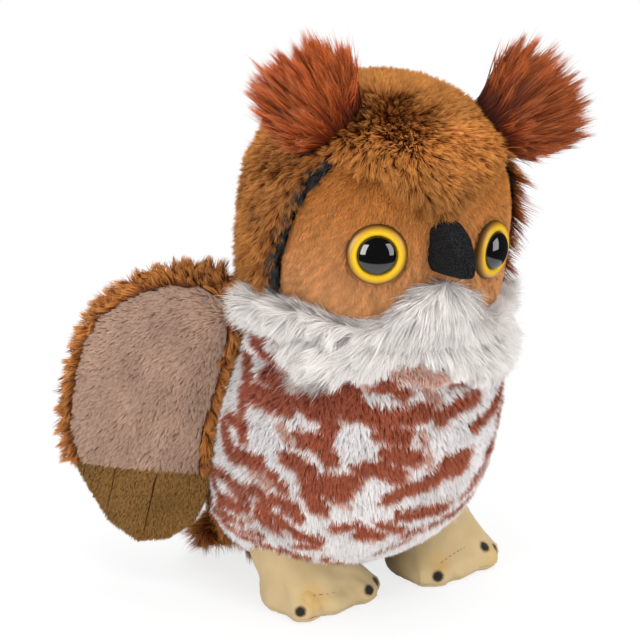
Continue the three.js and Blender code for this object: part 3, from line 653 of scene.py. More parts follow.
def piece(parts, name, material, body, stands_for, kept_normals=True):
    """Makes the parts one mesh that rides on a body and stands for a node, in its finish's slot."""
    points = np.concatenate([part.points for part in parts])
    points[:, 2] = np.maximum(points[:, 2], min(TABLE_GAP, parts[0].points[:, 2].min()))
    loops, totals, start = [], [], 0
    for part in parts:
        for faces in part.faces:
            loops.append((faces + start).ravel())
            totals.append(np.full(len(faces), faces.shape[1]))
        start += len(part.points)
    loops, totals = np.concatenate(loops), np.concatenate(totals)
    mesh = bpy.data.meshes.new(name)
    mesh.vertices.add(len(points))
    mesh.vertices.foreach_set("co", (points / MM).astype(np.float32).ravel())
    mesh.loops.add(len(loops))
    mesh.loops.foreach_set("vertex_index", loops.astype(np.int32))
    mesh.polygons.add(len(totals))
    mesh.polygons.foreach_set("loop_start", (np.cumsum(totals) - totals).astype(np.int32))
    mesh.update(calc_edges=True)
    mesh.polygons.foreach_set("use_smooth", np.ones(len(totals), bool))
    for key in ("along", "shade"):
        values = np.concatenate([getattr(part, key) for part in parts]).astype(np.float32)
        mesh.attributes.new(key, "FLOAT", "POINT").data.foreach_set("value", values)
    roots = np.concatenate([part.root for part in parts]).astype(np.float32)
    mesh.attributes.new("root", "FLOAT_VECTOR", "POINT").data.foreach_set("vector", roots.ravel())
    places = np.concatenate([part.place for part in parts]).astype(np.float32)
    mesh.uv_layers.new(name="OFBake").uv.foreach_set("vector", places[loops].ravel())
    if kept_normals:
        normals = np.concatenate([part.normals for part in parts]).astype(np.float32)
        mesh.normals_split_custom_set_from_vertices(normals)
    mesh.materials.append(material)
    made = bpy.data.objects.new(name, mesh)
    bpy.context.scene.collection.objects.link(made)
    if body:
        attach(made, body)
    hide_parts(stands_for)
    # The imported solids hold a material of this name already, so Blender adds a number to ours.
    print(f"{name}: {len(totals)} faces")
    return made


# %% [markdown]
# Plush is dark at its roots, where light is lost between the fibres, and pale at its tips. Each
# strand also has a shade of its own, because fibres of a lock catch the light together. A picture
# wrapped round the panel could carry both, but it would stretch at the seams. Here both values
# are kept on the mesh, so the finish is the same from every side.


# %% Finishes of the pile
FACE_TOP, FACE_LOW = 150.0, 102.0
BRIGHTEST = 1.6


def plush(name, root, middle, tip, dark=0.62, rough=0.78, shine=0.2, low=None, painted_light_below=0.0):
    """Pile from root to tip. With low, it grows towards that colour down the face, as painted light below and
    painted shade at the top of the face.
    """
    board, close = finish_of(name)
    along, shade = board.held("along"), board.held("shade")
    grown = board.ramp(along, (0.0, colour(root)), (0.45, colour(middle)), (1.0, colour(tip)))
    if low:
        height = board.node("ShaderNodeSeparateXYZ", None, {0: board.held("root", 1)}, out=2)
        grown = board.mix(painted_light_below * board.step(height, FACE_TOP, FACE_LOW), grown, colour(low))
    lit = board.scaled(grown, dark + (BRIGHTEST - dark) * shade)
    fluff = board.noise(board.held("root", 1), 1.3, 3.0)
    return close(Base_Color=lit, Roughness=rough - 0.16 * along, Specular_IOR_Level=shine,
                 Normal=board.dented(fluff * (1.0 - along), 0.35, 0.0004))


rust = plush("rust_plush", "#562a0d", "#98551f", "#cd8a43")
tuft_rust = plush("tuft_plush", "#340d02", "#82300a", "#cd6b30", rough=0.5, shine=0.4)
# The face plush is painted paler towards the chin: painted light below, painted shade at the top of the face.
tan_face = plush("face_plush", "#7d4110", "#a15c1d", "#ba7a37", dark=0.82, low="#dba878", painted_light_below=0.45)
black_trim = plush("trim_plush", "#060606", "#141313", "#4a4744")
white_pile = plush("white_plush", "#c6c1be", "#cfcac7", "#d7d3cf", dark=0.9)
taupe = plush("wing_plush", "#6a4836", "#9c7b68", "#b89a86", dark=0.78)
olive = plush("fringe_plush", "#50350f", "#7c5524", "#9b733b", dark=0.75)

# %% [markdown]
# The front of the body is white plush with a printed feather pattern. The dye takes whole fibres,
# so each strand is dyed by where its root is, and the edges of the blotches come out frayed, as on
# the real cloth. A strand keeps its dye in its shade: the lowest third is white, the middle third
# is the pink of half dyed fibre and the top third is brown.


# %% The printed plush
def printed_plush():
    board, close = finish_of("printed_plush")
    along, shade = board.held("along"), board.held("shade")
    pinker, browner = board.step(shade, 0.325, 0.34), board.step(shade, 0.66, 0.675)
    inner = shade * 3.0 - pinker - browner
    white = board.ramp(along, (0.0, colour("#ddd3d1")), (0.5, colour("#ece6e5")), (1.0, colour("#f6f3f2")))
    pink = board.ramp(along, (0.0, colour("#9c6a58")), (0.5, colour("#c6917e")), (1.0, colour("#dfb9aa")))
    brown = board.ramp(along, (0.0, colour("#541c0d")), (0.5, colour("#8f381d")), (1.0, colour("#b96648")))
    dyed = board.mix(browner, board.mix(pinker, white, pink), brown)
    return close(Base_Color=board.scaled(dyed, 0.8 + 0.4 * inner), Roughness=0.78 - 0.12 * along,
                 Specular_IOR_Level=0.3)


printed = printed_plush()


# %% [markdown]
# Every plush panel goes the same way: its cloth, roots scattered where it lies open, a comb, and
# ribbons. What differs is how its pile is cut and combed, so that is one short list per panel.
# Lengths are in millimetres and the lift is in degrees above the cloth.


# %% A dressed panel
def spread_from(point, roots):
    return unit(roots - np.array(point))


def share_of(values):
    return np.clip(values, 0, 1)


def closeness(node, reach):
    """A function of points that is 1 beside a node and falls off over about that many millimetres."""
    tree = tree_of(split(*solid_of(node), 3.0)[0])
    return lambda roots: np.exp(-(np.array([tree.find(r)[2] for r in roots]) / reach) ** 2)


def panel(node, longest, rounds, grows=None):
    """A panel's cloth: its points, triangles, normals and how much pile each triangle grows."""
    points, triangles = split(*solid_of(node), longest)
    points = eased(points, triangles, rounds)
    bare = open_faces(points, triangles).astype(float)
    normals = point_normals(points, triangles, bare)
    return points, triangles, normals, bare * grows(points[triangles].mean(1)) if grows else bare


def dressed(node, name, material, body, seed, way, pile, longest=2.6, rounds=14, tone_and_shade=None, dye=None, beyond=None):
    """One panel: its cloth with its pile combed over it. Beyond is a strip of another panel."""
    dice = np.random.default_rng(seed)
    points, triangles, normals, grows = panel(node, longest, rounds)
    roots, out = scatter(points, triangles, normals, grows, pile.per_mm2 * DENSITY, dice)
    if beyond:
        more, more_out = scatter(*panel(beyond[0], longest, rounds, beyond[1]), pile.per_mm2 * DENSITY, dice)
        roots, out = np.concatenate([roots, more]), np.concatenate([out, more_out])
    heading = along_cloth(way(roots, out), out)
    length, lift = (rule(roots) if callable(rule) else rule for rule in (pile.length, pile.lift))
    paths = combed(roots, out, heading, length, lift, pile, dice)
    shade = 0.5 + 0.13 * ripple(roots, 15, seed) + dice.normal(0, 0.15, len(roots))
    # The shift added here is random tone on some panels and painted light and shade on others.
    shade = np.clip(shade + tone_and_shade(roots) if tone_and_shade else shade, 0.02, 0.98)
    if dye:
        shade = (dye(roots) + np.clip(shade, 0.08, 0.92)) / 3
    strands = ribbons(paths, out, pile.width / math.sqrt(DENSITY), shade, dice, soft=pile.soft)
    return piece([backing(points, triangles, seed), strands], name, material, body, node)


# %% [markdown]
# The crown is one panel of brown plush that comes to a point between the brows. Its nap runs
# forward and down, and hangs over the face in a fringe. On top of the head it is brushed back,
# and behind it runs down to the nape.


# %% The crown
beside_face = [closeness(f"face_disc_{side}", 6.0) for side in SIDES]


def brow_share(roots):
    return np.maximum(beside_face[0](roots), beside_face[1](roots))


def on_top(roots):
    return share_of((roots[:, 2] - 154.0) / 14.0)


def crown_way(roots, out):
    aside = np.clip((roots - HEAD_MIDDLE) @ SIDEWAYS / 12.0, -1, 1)[:, None]
    front = share_of(out @ FORWARD / 0.5)[:, None]
    behind = share_of(-out @ FORWARD / 0.5)[:, None]
    flow = 0.6 * FORWARD + 0.35 * spread_from(HEAD_MIDDLE, roots) + 1.8 * behind * DOWN
    flow += front * (1.1 * DOWN + 0.75 * aside * SIDEWAYS)
    return flow - 1.05 * on_top(roots)[:, None] * (FORWARD - 0.4 * SIDEWAYS)


# Painted light and shade on the crown's pile: darker on top of the head and in the fringe over the face, lighter in
# a band across the parting.
def crown_light_and_shade(roots):
    parting = np.exp(-((roots[:, 2] - 158.0) / 7.0) ** 2)
    return 0.06 - 0.4 * on_top(roots) + 0.34 * parting - 0.32 * brow_share(roots)


def crown_length(roots):
    """The fringe over the face is longest half way between the point and the near temple."""
    aside = (roots - HEAD_MIDDLE) @ SIDEWAYS
    fringe = 3.2 - 1.8 * share_of(aside / 6) + 4.8 * np.exp(-((aside + 14) / 8) ** 2)
    return 5.2 + brow_share(roots) * fringe


def crown_lift(roots):
    return 56.0 - 14.0 * brow_share(roots) + 12.0 * on_top(roots)


dressed("crown_panel", "crown_plush", rust, "owl", 11, crown_way,
        Pile(crown_length, crown_lift, 12.0, width=0.27, bend=0.35, lock=17.0, pull=0.88, stray=0.003, curl=0.35,
             soft=0.75), tone_and_shade=crown_light_and_shade)

# %% [markdown]
# The hoods are the brown panels at the sides and back of the head. Along the black trim their pile folds forward
# over the seam and shows its pale tips, and painted light makes the fold paler still. On the left it hides most of
# the trim, and there the painted light is strongest.
# A fringe of its own could be laid over the seam, but the pile that grows there does the same when
# it is longer and lies flatter close to the trim.

# %% The hoods
ROLLED_LENGTH = {"left": 7.1, "right": 2.6}
# How much painted light lifts the pile that folds over the trim.
ROLLED_LIGHT = {"left": 0.42, "right": 0.14}
UNDER_TUFT = 158.0


def hood(side):
    beside_trim = closeness(f"face_trim_{side}", 5.0)

    def rolled(roots):
        """How far the pile folds over the trim. Under the ear tuft it doesn't."""
        return beside_trim(roots) * share_of((UNDER_TUFT - roots[:, 2]) / 14.0)

    def way(roots, out):
        share = rolled(roots)[:, None]
        return DOWN + 0.9 * share * FORWARD - 0.3 * (1 - share) * FORWARD

    pile = Pile(lambda roots: 5.4 + ROLLED_LENGTH[side] * rolled(roots), lambda roots: 58.0 - 18.0 * rolled(roots),
                9.5, width=0.3, bend=0.35, lock=19.0, pull=0.9, curl=0.6, soft=0.66)
    dressed(f"hood_{side}", f"hood_plush_{side}", rust, "owl", 21, way, pile,
            tone_and_shade=lambda roots: ROLLED_LIGHT[side] * rolled(roots) - 0.04)


for side in SIDES:
    hood(side)

# %% [markdown]
# The face discs are short, dense velour. The pile is under two millimetres long and lies nearly
# flat, which makes the fine streaks of tan on the cheeks. It runs outwards and down from the brow.
# Round each eye it stands up a little, where the plastic ring presses on the cloth.

# %% The face discs and their trim
BROW = HEAD_MIDDLE + 38.0 * FORWARD + np.array([0.0, 0.0, 24.0])
TRIM_LENGTH = {"left": 3.0, "right": 5.4}


def face_way(roots, out):
    return 0.9 * spread_from(BROW, roots) + 0.7 * DOWN


def streaks(roots):
    """Fine light and dark streaks that run with the nap."""
    offset = roots - BROW
    far = np.linalg.norm(offset, axis=1)
    turn = np.arctan2(offset @ SIDEWAYS, -offset[:, 2])
    on_nap = np.stack([turn * 60.0, far * 0.4, 0 * far], 1)
    return 0.26 * ripple(on_nap, 2.0, 33, 14) + 0.06 * ripple(roots, 6.0, 34)


def trim_way(roots, out):
    return DOWN + 0.5 * spread_from(HEAD_MIDDLE, roots)


def face_disc(side):
    beside_eye = closeness(f"eye_ring_{side}", 1.6)
    pile = Pile(lambda roots: 2.2 + 0.5 * beside_eye(roots), lambda roots: 21.0 + 30.0 * beside_eye(roots), 15.0,
                width=0.22, bend=0.5, lock=6.0, pull=0.4, stray=0.0, soft=0.85)
    dressed(f"face_disc_{side}", f"face_plush_{side}", tan_face, "owl", 31, face_way, pile, longest=2.0, rounds=24,
            tone_and_shade=streaks)


for side in SIDES:
    face_disc(side)
for side in SIDES:
    dressed(f"face_trim_{side}", f"trim_plush_{side}", black_trim, "owl", 41, trim_way,
            Pile(TRIM_LENGTH[side], 64.0, 16.0, width=0.24, lock=10.0, pull=0.6, stray=0.04, curl=0.6))

# %% [markdown]
# The body has a printed front and two brown backs that meet in the middle seam. The print could
# be a noise, but no noise makes these rows of feather marks. So each mark is a line drawn on the
# cloth with a width, and its edge frays by a noise and by chance.

# %% The marks of the print
# Each blotch: half its width, and the line that it is drawn along.
BLOTCHES = [
    (2.3, [(-44, -8, 96), (-46, -13, 93)]), (2.0, [(-42, 0, 89), (-46, -5, 76)]),
    (3.0, [(-46, -14, 93), (-45, -22, 92), (-41, -24, 87)]), (1.7, [(-44, -13, 86), (-44, -17, 84)]),
    (2.3, [(-46, -3, 78), (-44, -21, 76)]), (1.7, [(-46, -3, 75), (-48, -4, 63)]),
    (2.3, [(-45, 8, 63), (-47, 3, 57)]), (2.0, [(-47, 1, 56), (-47, -12, 56)]),
    (3.0, [(-42, -27, 79), (-36, -34, 83)]), (3.3, [(-40, -30, 77), (-36, -35, 79)]),
    (2.0, [(-38, -33, 74), (-38, -33, 70)]), (3.0, [(-33, -37, 85), (-34, -39, 77)]),
    (2.0, [(-30, -40, 87), (-28, -47, 86), (-20, -47, 82)]),
    (2.3, [(-34, -39, 78), (-28, -43, 75), (-22, -46, 74), (-14, -50, 76)]),
    (2.3, [(-43, -26, 67), (-39, -32, 66), (-37, -33, 61)]),
    (2.3, [(-44, -21, 60), (-42, -25, 58), (-40, -27, 55)]), (2.3, [(-26, -44, 70), (-19, -47, 68)]),
    (2.7, [(-23, -44, 63), (-15, -47, 60)]), (2.3, [(-30, -39, 57), (-25, -42, 58), (-19, -44, 54)]),
    (3.0, [(-40, -28, 52), (-32, -36, 53)]), (2.0, [(-40, -26, 49), (-37, -28, 43)]),
    (2.3, [(-36, -32, 49), (-33, -34, 49)]), (1.3, [(-46, -16, 53), (-44, -19, 49)]),
    (2.7, [(-3, -48, 55), (6, -48, 56)]), (2.0, [(-6, -47, 52), (6, -47, 52)]),
    (2.0, [(-21, -41, 46), (-16, -44, 49), (-6, -46, 50)]),
    (2.0, [(-15, -40, 39), (-7, -42, 39), (4, -42, 38)]),
    (1.4, [(-32, -29, 36), (-28, -33, 37), (-18, -35, 32)]), (1.7, [(-25, -33, 33), (-20, -34, 32)]),
    (2.0, [(-46, -11, 41), (-42, -16, 36)]), (2.0, [(-44, -18, 44), (-42, -21, 42)]),
    (1.4, [(-42, -16, 36), (-38, -20, 32), (-34, -24, 30)]),
    (1.1, [(-43, 7, 27), (-41, -3, 26), (-37, -10, 24), (-31, -15, 22)]),
    (1.1, [(-27, -19, 22), (-18, -17, 17)]), (2.0, [(-7, -51, 72), (-1, -52, 75), (7, -51, 76)]),
    (1.8, [(9, -50, 66), (18, -47, 69)]), (2.0, [(19, -47, 69), (27, -43, 73)]),
    (1.4, [(26, -43, 64), (34, -38, 68)]), (1.2, [(15, -42, 43), (26, -40, 51)]),
    (1.0, [(12, -42, 40), (28, -36, 45)]), (1.0, [(22, -43, 52), (33, -38, 60)]),
    (1.4, [(8, -40, 31), (24, -34, 36)]), (1.0, [(-9, -37, 30), (8, -38, 32)]),
    (0.9, [(-13, -28, 23), (-4, -34, 27)]), (1.1, [(-44, 16, 45), (-46, 11, 39), (-47, 1, 39)]),
    (1.1, [(-42, 19, 45), (-47, 5, 47), (-47, -6, 45)]),
    (1.2, [(-43, 20, 38), (-42, 18, 32), (-44, 8, 31)]), (1.2, [(-46, 8, 33), (-43, -1, 32)]),
    (1.3, [(-46, 5, 67), (-47, -4, 67)]), (1.0, [(-4, -51, 83), (4, -51, 83)]),
    (1.5, [(-46, 12, 72), (-46, 8, 78)]), (1.3, [(-45, 11, 36), (-47, -4, 39)]),
    (1.2, [(-38, -1, 22), (-32, -11, 20)]), (1.0, [(-24, -14, 18), (-14, -16, 17)]),
    (1.0, [(-43, 12, 28), (-43, -6, 30)]), (1.3, [(-46, -9, 38), (-42, -13, 33)]),
    (1.3, [(-37, -17, 28), (-33, -22, 28)]), (1.2, [(-47, -8, 47), (-45, -15, 44)]),
    (1.2, [(-47, 2, 45), (-47, -4, 42)]), (1.7, [(-46, -10, 79), (-43, -25, 78)]),
    (1.7, [(-45, -15, 94), (-44, -26, 91)]), (1.3, [(-45, -10, 84), (-44, -18, 83)]),
    (1.2, [(-16, -49, 74), (-7, -51, 74)]), (1.3, [(-42, -21, 43), (-41, -22, 39)]),
    (1.2, [(-21, -37, 37), (-12, -38, 33)])]
FADED = [
    (2.7, [(-30, -44, 91), (-22, -50, 90), (-10, -54, 87)]), (1.9, [(-13, -49, 84), (-10, -51, 78)]),
    (1.9, [(-43, -20, 85), (-41, -25, 82)]), (1.7, [(-45, -20, 70), (-45, -22, 66)]),
    (1.4, [(-14, -49, 68), (-9, -47, 55)]), (1.5, [(-47, -8, 53), (-46, -14, 50)]),
    (1.7, [(-47, -5, 44), (-46, -13, 48)]), (1.5, [(-44, 11, 31), (-45, -5, 35)]),
    (1.3, [(-34, -33, 46), (-31, -34, 44)]), (1.4, [(-8, -54, 90), (-2, -51, 84)]),
    (1.5, [(-40, -35, 90), (-33, -37, 88)])]

# %% [markdown]
# The nap runs down, so the tip of a strand is seen a little below its root, and each strand takes
# its dye from there. The front's pile also grows on the strip of the beard's cloth that lies below
# the beard's edge. Without it a bald line would run along the beard.

# %% Dye, beard line and the front of the body
COMBED_DOWN = 1.6
BLEED, PINK_RIM, FADED_BLEED = 0.6, 0.75, 0.3
REPEATED_PAST = -35
REPEATED_LOWER = 3
BODY_AXIS_Y = -3.5
BEARD_AROUND = [-110, -79, -56, -38, -20, -5, 21, 60, 90, 110]
BEARD_LOW = [104, 98, 86, 89, 92, 86, 83, 88, 96, 104]
BELLY_LOW = 15.0


def carried_round(lines):
    """The blotches of the near side again on the far side, a little lower."""
    near = [(width, line) for width, line in lines if line[0][0] < REPEATED_PAST]
    return lines + [(width, [(-x, y, z - REPEATED_LOWER) for x, y, z in line]) for width, line in near]


def distance_to_line(points, line):
    """How far each point is from a line through several places."""
    best = np.full(len(points), 1e9)
    for a, b in zip(line[:-1], line[1:]):
        a, b = np.array(a), np.array(b)
        share = share_of((points - a) @ (b - a) / max((b - a) @ (b - a), 1e-9))
        best = np.minimum(best, np.linalg.norm(points - a - share[:, None] * (b - a), axis=1))
    return best


def inside(points, lines):
    """How far inside the nearest blotch each point is."""
    return np.max([width - distance_to_line(points, line) for width, line in carried_round(lines)], axis=0)


def dye(roots):
    """How a strand is dyed: 0 white, 1 pink, 2 brown."""
    fray = (0.55 * ripple(roots, 3.4, 71) + 0.4 * ripple(roots, 1.5, 72)
            + np.random.default_rng(73).normal(0, 0.35, len(roots)))
    seen_at = roots + COMBED_DOWN * DOWN
    brown, faded = (fray + inside(seen_at, lines) for lines in (BLOTCHES, FADED))
    pink = (brown > -BLEED - PINK_RIM) | (faded > -FADED_BLEED)
    return np.where(brown > -BLEED, 2, np.where(pink, 1, 0))


def under_beard(points):
    """How far each point is below the line where the beard ends."""
    around = np.degrees(np.arctan2(points[:, 0], BODY_AXIS_Y - points[:, 1]))
    return np.interp(around, BEARD_AROUND, BEARD_LOW) + 1.5 * ripple(points, 9, 77) - points[:, 2]


def below_beard(points):
    return (under_beard(points) > -1.5).astype(float)


def body_way(roots, out):
    return DOWN + 0.25 * out


dressed("body_front_panel", "printed_front", printed, "owl", 51, body_way,
        Pile(lambda roots: 4.1 - 1.9 * share_of((BELLY_LOW - roots[:, 2]) / 4.0), 60.0, 12.0, width=0.27, bend=0.5,
             lock=11.0, pull=0.75, curl=0.35),
        dye=dye, beyond=("beard", below_beard))


# %% [markdown]
# The two backs are plain brown pile. Beside the tail it is longer and hangs flat, so that it fills the corner
# between body and flap, and it is a little darker there, painted shade for that corner. With one length all over,
# the root of the flap would lie bare.

# %% The backs of the body
def by_tail(roots):
    return (share_of((np.abs(roots[:, 0]) - 8) / 6) * share_of((roots[:, 1] - 14) / 8)
            * share_of((32 - roots[:, 2]) / 10))


def back_lift(roots):
    """Hair beside the tail hangs: flat on the sides, away from the cloth underneath."""
    return 62.0 - 38.0 * by_tail(roots) * share_of((roots[:, 2] - 14) / 4)


for side in SIDES:
    dressed(f"body_back_{side}", f"back_plush_{side}", rust, "owl", 61, body_way,
            Pile(lambda roots: 5.0 + 6.0 * by_tail(roots), back_lift, 7.0, width=0.33, bend=0.6, lock=14.0,
                 pull=0.85, curl=0.5), tone_and_shade=lambda roots: -0.2 * by_tail(roots))

# %% [markdown]
# Each wing is a flat pad. Its brown cover wraps the rim, and there the pile is longest, standing
# off the edge like a fur trim. The lining is a taupe nap and the feathers are short olive plush.
# At its root the wing is sewn to the body. Cover and lining are left off the bodies, with their places baked into
# their meshes, and the feathers ride on the wing.


# %% The wings
ROOT_BEND = 9.0
ABOVE_HINGE = np.array([0.0, 0.0, 22.0])


def joint_named(name):
    return next(j for j in frame["joints"] if j["name"] == name)


def bends_at(thing, hinge, away):
    """Bakes the piece's place into its mesh. Hinge and away are in millimetres."""
    start = metres(hinge)
    start + metres(ROOT_BEND * away)
    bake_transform(thing)


def wing(side):
    body = f"wing_{side}"
    low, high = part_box(f"wing_lining_{side}")
    middle = np.array((low + high) / 2) * MM
    joint = joint_named(f"wing_{side}_spread")
    hinge = np.array(joint["pos_m"]) * MM
    axis = unit(np.array(joint["axis"], float))
    away = unit(middle - hinge - ((middle - hinge) @ axis) * axis)
    top = hinge + ABOVE_HINGE

    def cover_way(roots, out):
        return 0.8 * spread_from(middle, roots) + 0.35 * spread_from(top, roots) + 0.3 * DOWN

    def lining_way(roots, out):
        return spread_from(top, roots) + 0.35 * DOWN

    def rim_length(roots):
        return 5.0 + 1.6 * share_of(np.linalg.norm(roots - middle, axis=1) / 32.0 - 0.45)

    cover = dressed(f"wing_cover_{side}", f"wing_cover_plush_{side}", rust, None, 71, cover_way,
                    Pile(rim_length, 60.0, 7.0, width=0.33, bend=0.5, lock=20.0, pull=0.92, curl=0.9, soft=0.62))
    lining = dressed(f"wing_lining_{side}", f"wing_lining_plush_{side}", taupe, None, 81, lining_way,
                     Pile(2.6, 38.0, 12.0, width=0.27, lock=14.0, pull=0.75, stray=0.0, curl=0.2))
    for cloth in (cover, lining):
        bends_at(cloth, hinge, away)
    dressed(f"wing_fringe_{side}", f"wing_fringe_plush_{side}", olive, body, 91, body_way,
            Pile(1.5, 50.0, 11.0, width=0.24, lock=6.0, pull=0.3, stray=0.0), longest=1.8, rounds=8)


for side in SIDES:
    wing(side)

# %% [markdown]
# The tail is a small flap like the wings. Its hair is the longest of the brown plush, so that the flap looks round
# from above, and at its two ends it folds forward beside the body. The cover is left off the bodies, with its place
# baked into its mesh. The lining is hidden under it, so it simply rides on the flap.

# %% The tail
TAIL_MIDDLE = (0.0, 38.0, 15.0)
TAIL_HINGE = np.array(joint_named("tail_lift")["pos_m"]) * MM
TAIL_AWAY = np.array([0.0, 0.8, -0.6])


def inward(roots):
    """How far the hair at the ends of the tail folds forward along the body."""
    return share_of((np.abs(roots[:, 0]) - 18) / 6) * share_of((50 - roots[:, 1]) / 6)


def tail_way(roots, out):
    back = np.array([0.0, 1.0, -0.5]) + 0.8 * spread_from(TAIL_MIDDLE, roots)
    return back + inward(roots)[:, None] * np.array([0.0, -3.2, -0.4])


# The cover's pile is painted a little darker than the brown elsewhere, as shade where it lies low behind the body.
tail_cover = dressed("tail_cover", "tail_cover_plush", rust, None, 101, tail_way,
                     Pile(lambda roots: 8.0 + 4.5 * inward(roots), lambda roots: 52.0 - 26.0 * inward(roots), 11.0,
                          width=0.32, pull=0.6, curl=0.8), tone_and_shade=lambda roots: -0.12)
bends_at(tail_cover, TAIL_HINGE, TAIL_AWAY)
dressed("tail_lining", "tail_lining_plush", rust, "tail", 102, tail_way, Pile(6.0, 34.0, 7.0))

# %% [markdown]
# The beard covers the neck seam. It is long white hair, so its ribbons have four joints each. It
# leaves the chin sideways at the ears and hangs straight in front. Hair that is only cut to one
# length would end in a straight line, so each strand stops near the beard's own lower edge.

# %% The beard
CHIN = HEAD_MIDDLE + 44.0 * FORWARD + np.array([0.0, 0.0, -14.0])


def beard_way(roots, out):
    return 1.25 * spread_from(CHIN, roots) + 0.55 * DOWN


def beard_length(roots, heading):
    """Long hair, but no longer than reaches to the edge of the beard."""
    room = (1.5 - under_beard(roots)) / np.clip(-heading[:, 2], 0.3, 1.0) / 0.85
    return np.clip(room, 2.2, 10.5 + 2.2 * ripple(roots, 16, 3))


def above_edge(points):
    return (under_beard(points) < 0.8).astype(float)


def beard(pile, seed):
    dice = np.random.default_rng(seed)
    points, triangles, normals, grows = panel("beard", 2.4, 10, above_edge)
    roots, out = scatter(points, triangles, normals, grows, pile.per_mm2 * DENSITY, dice)
    heading = along_cloth(beard_way(roots, out), out)
    paths = combed(roots, out, heading, beard_length(roots, heading), pile.lift, pile, dice)
    shade = np.clip(0.55 + 0.12 * ripple(roots, 9, seed) + dice.normal(0, 0.1, len(roots)), 0.02, 0.98)
    strands = ribbons(paths, out, pile.width / math.sqrt(DENSITY), shade, dice, steps=4, soft=pile.soft)
    piece([backing(points, triangles, seed), strands], "beard_hair", white_pile, "owl", "beard")


beard(Pile(None, 30.0, 13.0, width=0.19, bend=0.6, lock=50.0, stray=0.03, fall=0.3, curl=0.3, soft=0.9), 111)

# %% [markdown]
# An ear tuft is a brush of the longest hair on the toy. The hairs leave one small seat and fan
# out to the far side of the tuft's solid, drawn together into pointed locks. A cone of random
# hairs would be quicker, but it wouldn't keep the lean of each tuft, which the solid has.

# %% The ear tufts
TUFT_LOCK, TUFT_PULL = 50.0, 0.92
SHORTEST, LONGEST = -4.5, 8.5


def tuft(side, seed, spread, tone_and_shade):
    """One tuft: how far it spreads over its solid, and how much painted shade darkens it."""
    node = f"ear_tuft_{side}"
    dice = np.random.default_rng(seed)
    points, triangles = split(*solid_of(node), 2.4)
    points = eased(points, triangles, 8)
    reach = np.linalg.norm(points - HEAD_MIDDLE, axis=1)
    seat = points[reach < np.quantile(reach, 0.12)].mean(0)
    far = points[reach > np.quantile(reach, 0.88)].mean(0)
    axis = unit(far - seat)
    surface, _ = scatter(points, triangles, point_normals(points, triangles), np.ones(len(triangles)),
                         8.0 * DENSITY, dice)
    surface = surface[(surface - seat) @ axis / np.linalg.norm(far - seat) > 0.18]
    core = seat + axis * ((surface - seat) @ axis)[:, None]
    aside = surface - core
    count = len(surface)
    over = core + aside * spread * dice.uniform(0.3, 1.0, count)[:, None] ** 0.5
    ends = over + unit(over - seat) * np.clip(dice.normal(1.5, 3.4, count), SHORTEST, LONGEST)[:, None]
    ends = ends + dice.normal(0, 0.7, ends.shape)
    start = seat + 0.62 * aside * dice.uniform(0.5, 1.0, count)[:, None]
    start = start + axis * dice.uniform(-1.5, 4.0, count)[:, None]
    ends = gathered(over, ends, TUFT_LOCK, TUFT_PULL, dice)
    elbow = (start + ends) / 2 + axis * 0.8 + dice.normal(0, 0.45, (count, 3)) + 0.062 * aside
    up = axis * ((points - seat) @ axis)[:, None]
    shrunk = seat + 0.65 * up + 0.52 * (points - seat - up)
    shade = np.clip(0.5 + tone_and_shade + 0.2 * ripple(ends, 8, seed) + dice.normal(0, 0.2, count), 0.02, 0.98)
    piece([backing(shrunk, triangles, seed), hairs((start, elbow, ends), 0.33 / math.sqrt(DENSITY), shade, dice)],
          f"ear_tuft_hair_{side}", tuft_rust, "owl", node)


# The far tuft, on the left, gets painted shade, since it faces the light more than the near one.
tuft("left", 121, 1.2, -0.28)
tuft("right", 122, 1.0, 0.0)

# %% [markdown]
# The feet are smooth velour over a soft filling. The toes are drawn apart by a line of stitches
# that pulls the cloth in, and each toe ends in an airbrushed black dot. There is no pile to comb:
# a fine grain in the bump and a soft sheen make the nap. All places are in millimetres.

# %% Dots, stitches and creases of the feet
TOE_DOTS = [(-40.8, -21.8, 5.0), (-12.7, -22.4, 5.6), (-5.0, -21.8, 6.0),
            (15.1, -30.2, 4.9), (38.6, -27.6, 8.6), (45.6, -29.2, 6.4)]
STITCHED = {"right": [[(-35.3, -21.0, 9.2), (-28.3, -23.1, 8.1), (-20.6, -25.1, 7.3)]],
            "left": [[(18.6, -28.1, 8.8), (24.8, -29.4, 10.0), (33.1, -29.1, 10.7)]]}
CREASES = {"right": [[(-35.8, -23.1, 3.0), (-35.3, -21.0, 9.2)],
                     [(-26.2, -17.4, 17.2), (-20.7, -19.3, 14.5), (-13.8, -20.3, 10.3), (-10.0, -21.7, 7.9)]],
           "left": [[(9.3, -26.8, 3.6), (12.8, -29.1, 5.5)], [(25.0, -27.1, 13.0), (31.0, -27.4, 12.0)]]}
# Places where warm painted shade lies in the creases between the toes.
CREASE_SHADE_SPOTS = [(-35.2, -21.6, 7.5), (-32.5, -22.0, 8.6), (18.6, -28.1, 8.8), (43.0, -29.8, 5.0)]

# %% [markdown]
# The solids' toes are cut deeper than sewn toes are once they are filled. The filling presses the
# notches between them out again, all but the one that the stitches hold, and the near heel leans
# out to the side. One function moves the points of upper, sole and filling alike, so that none of
# them pokes through another.

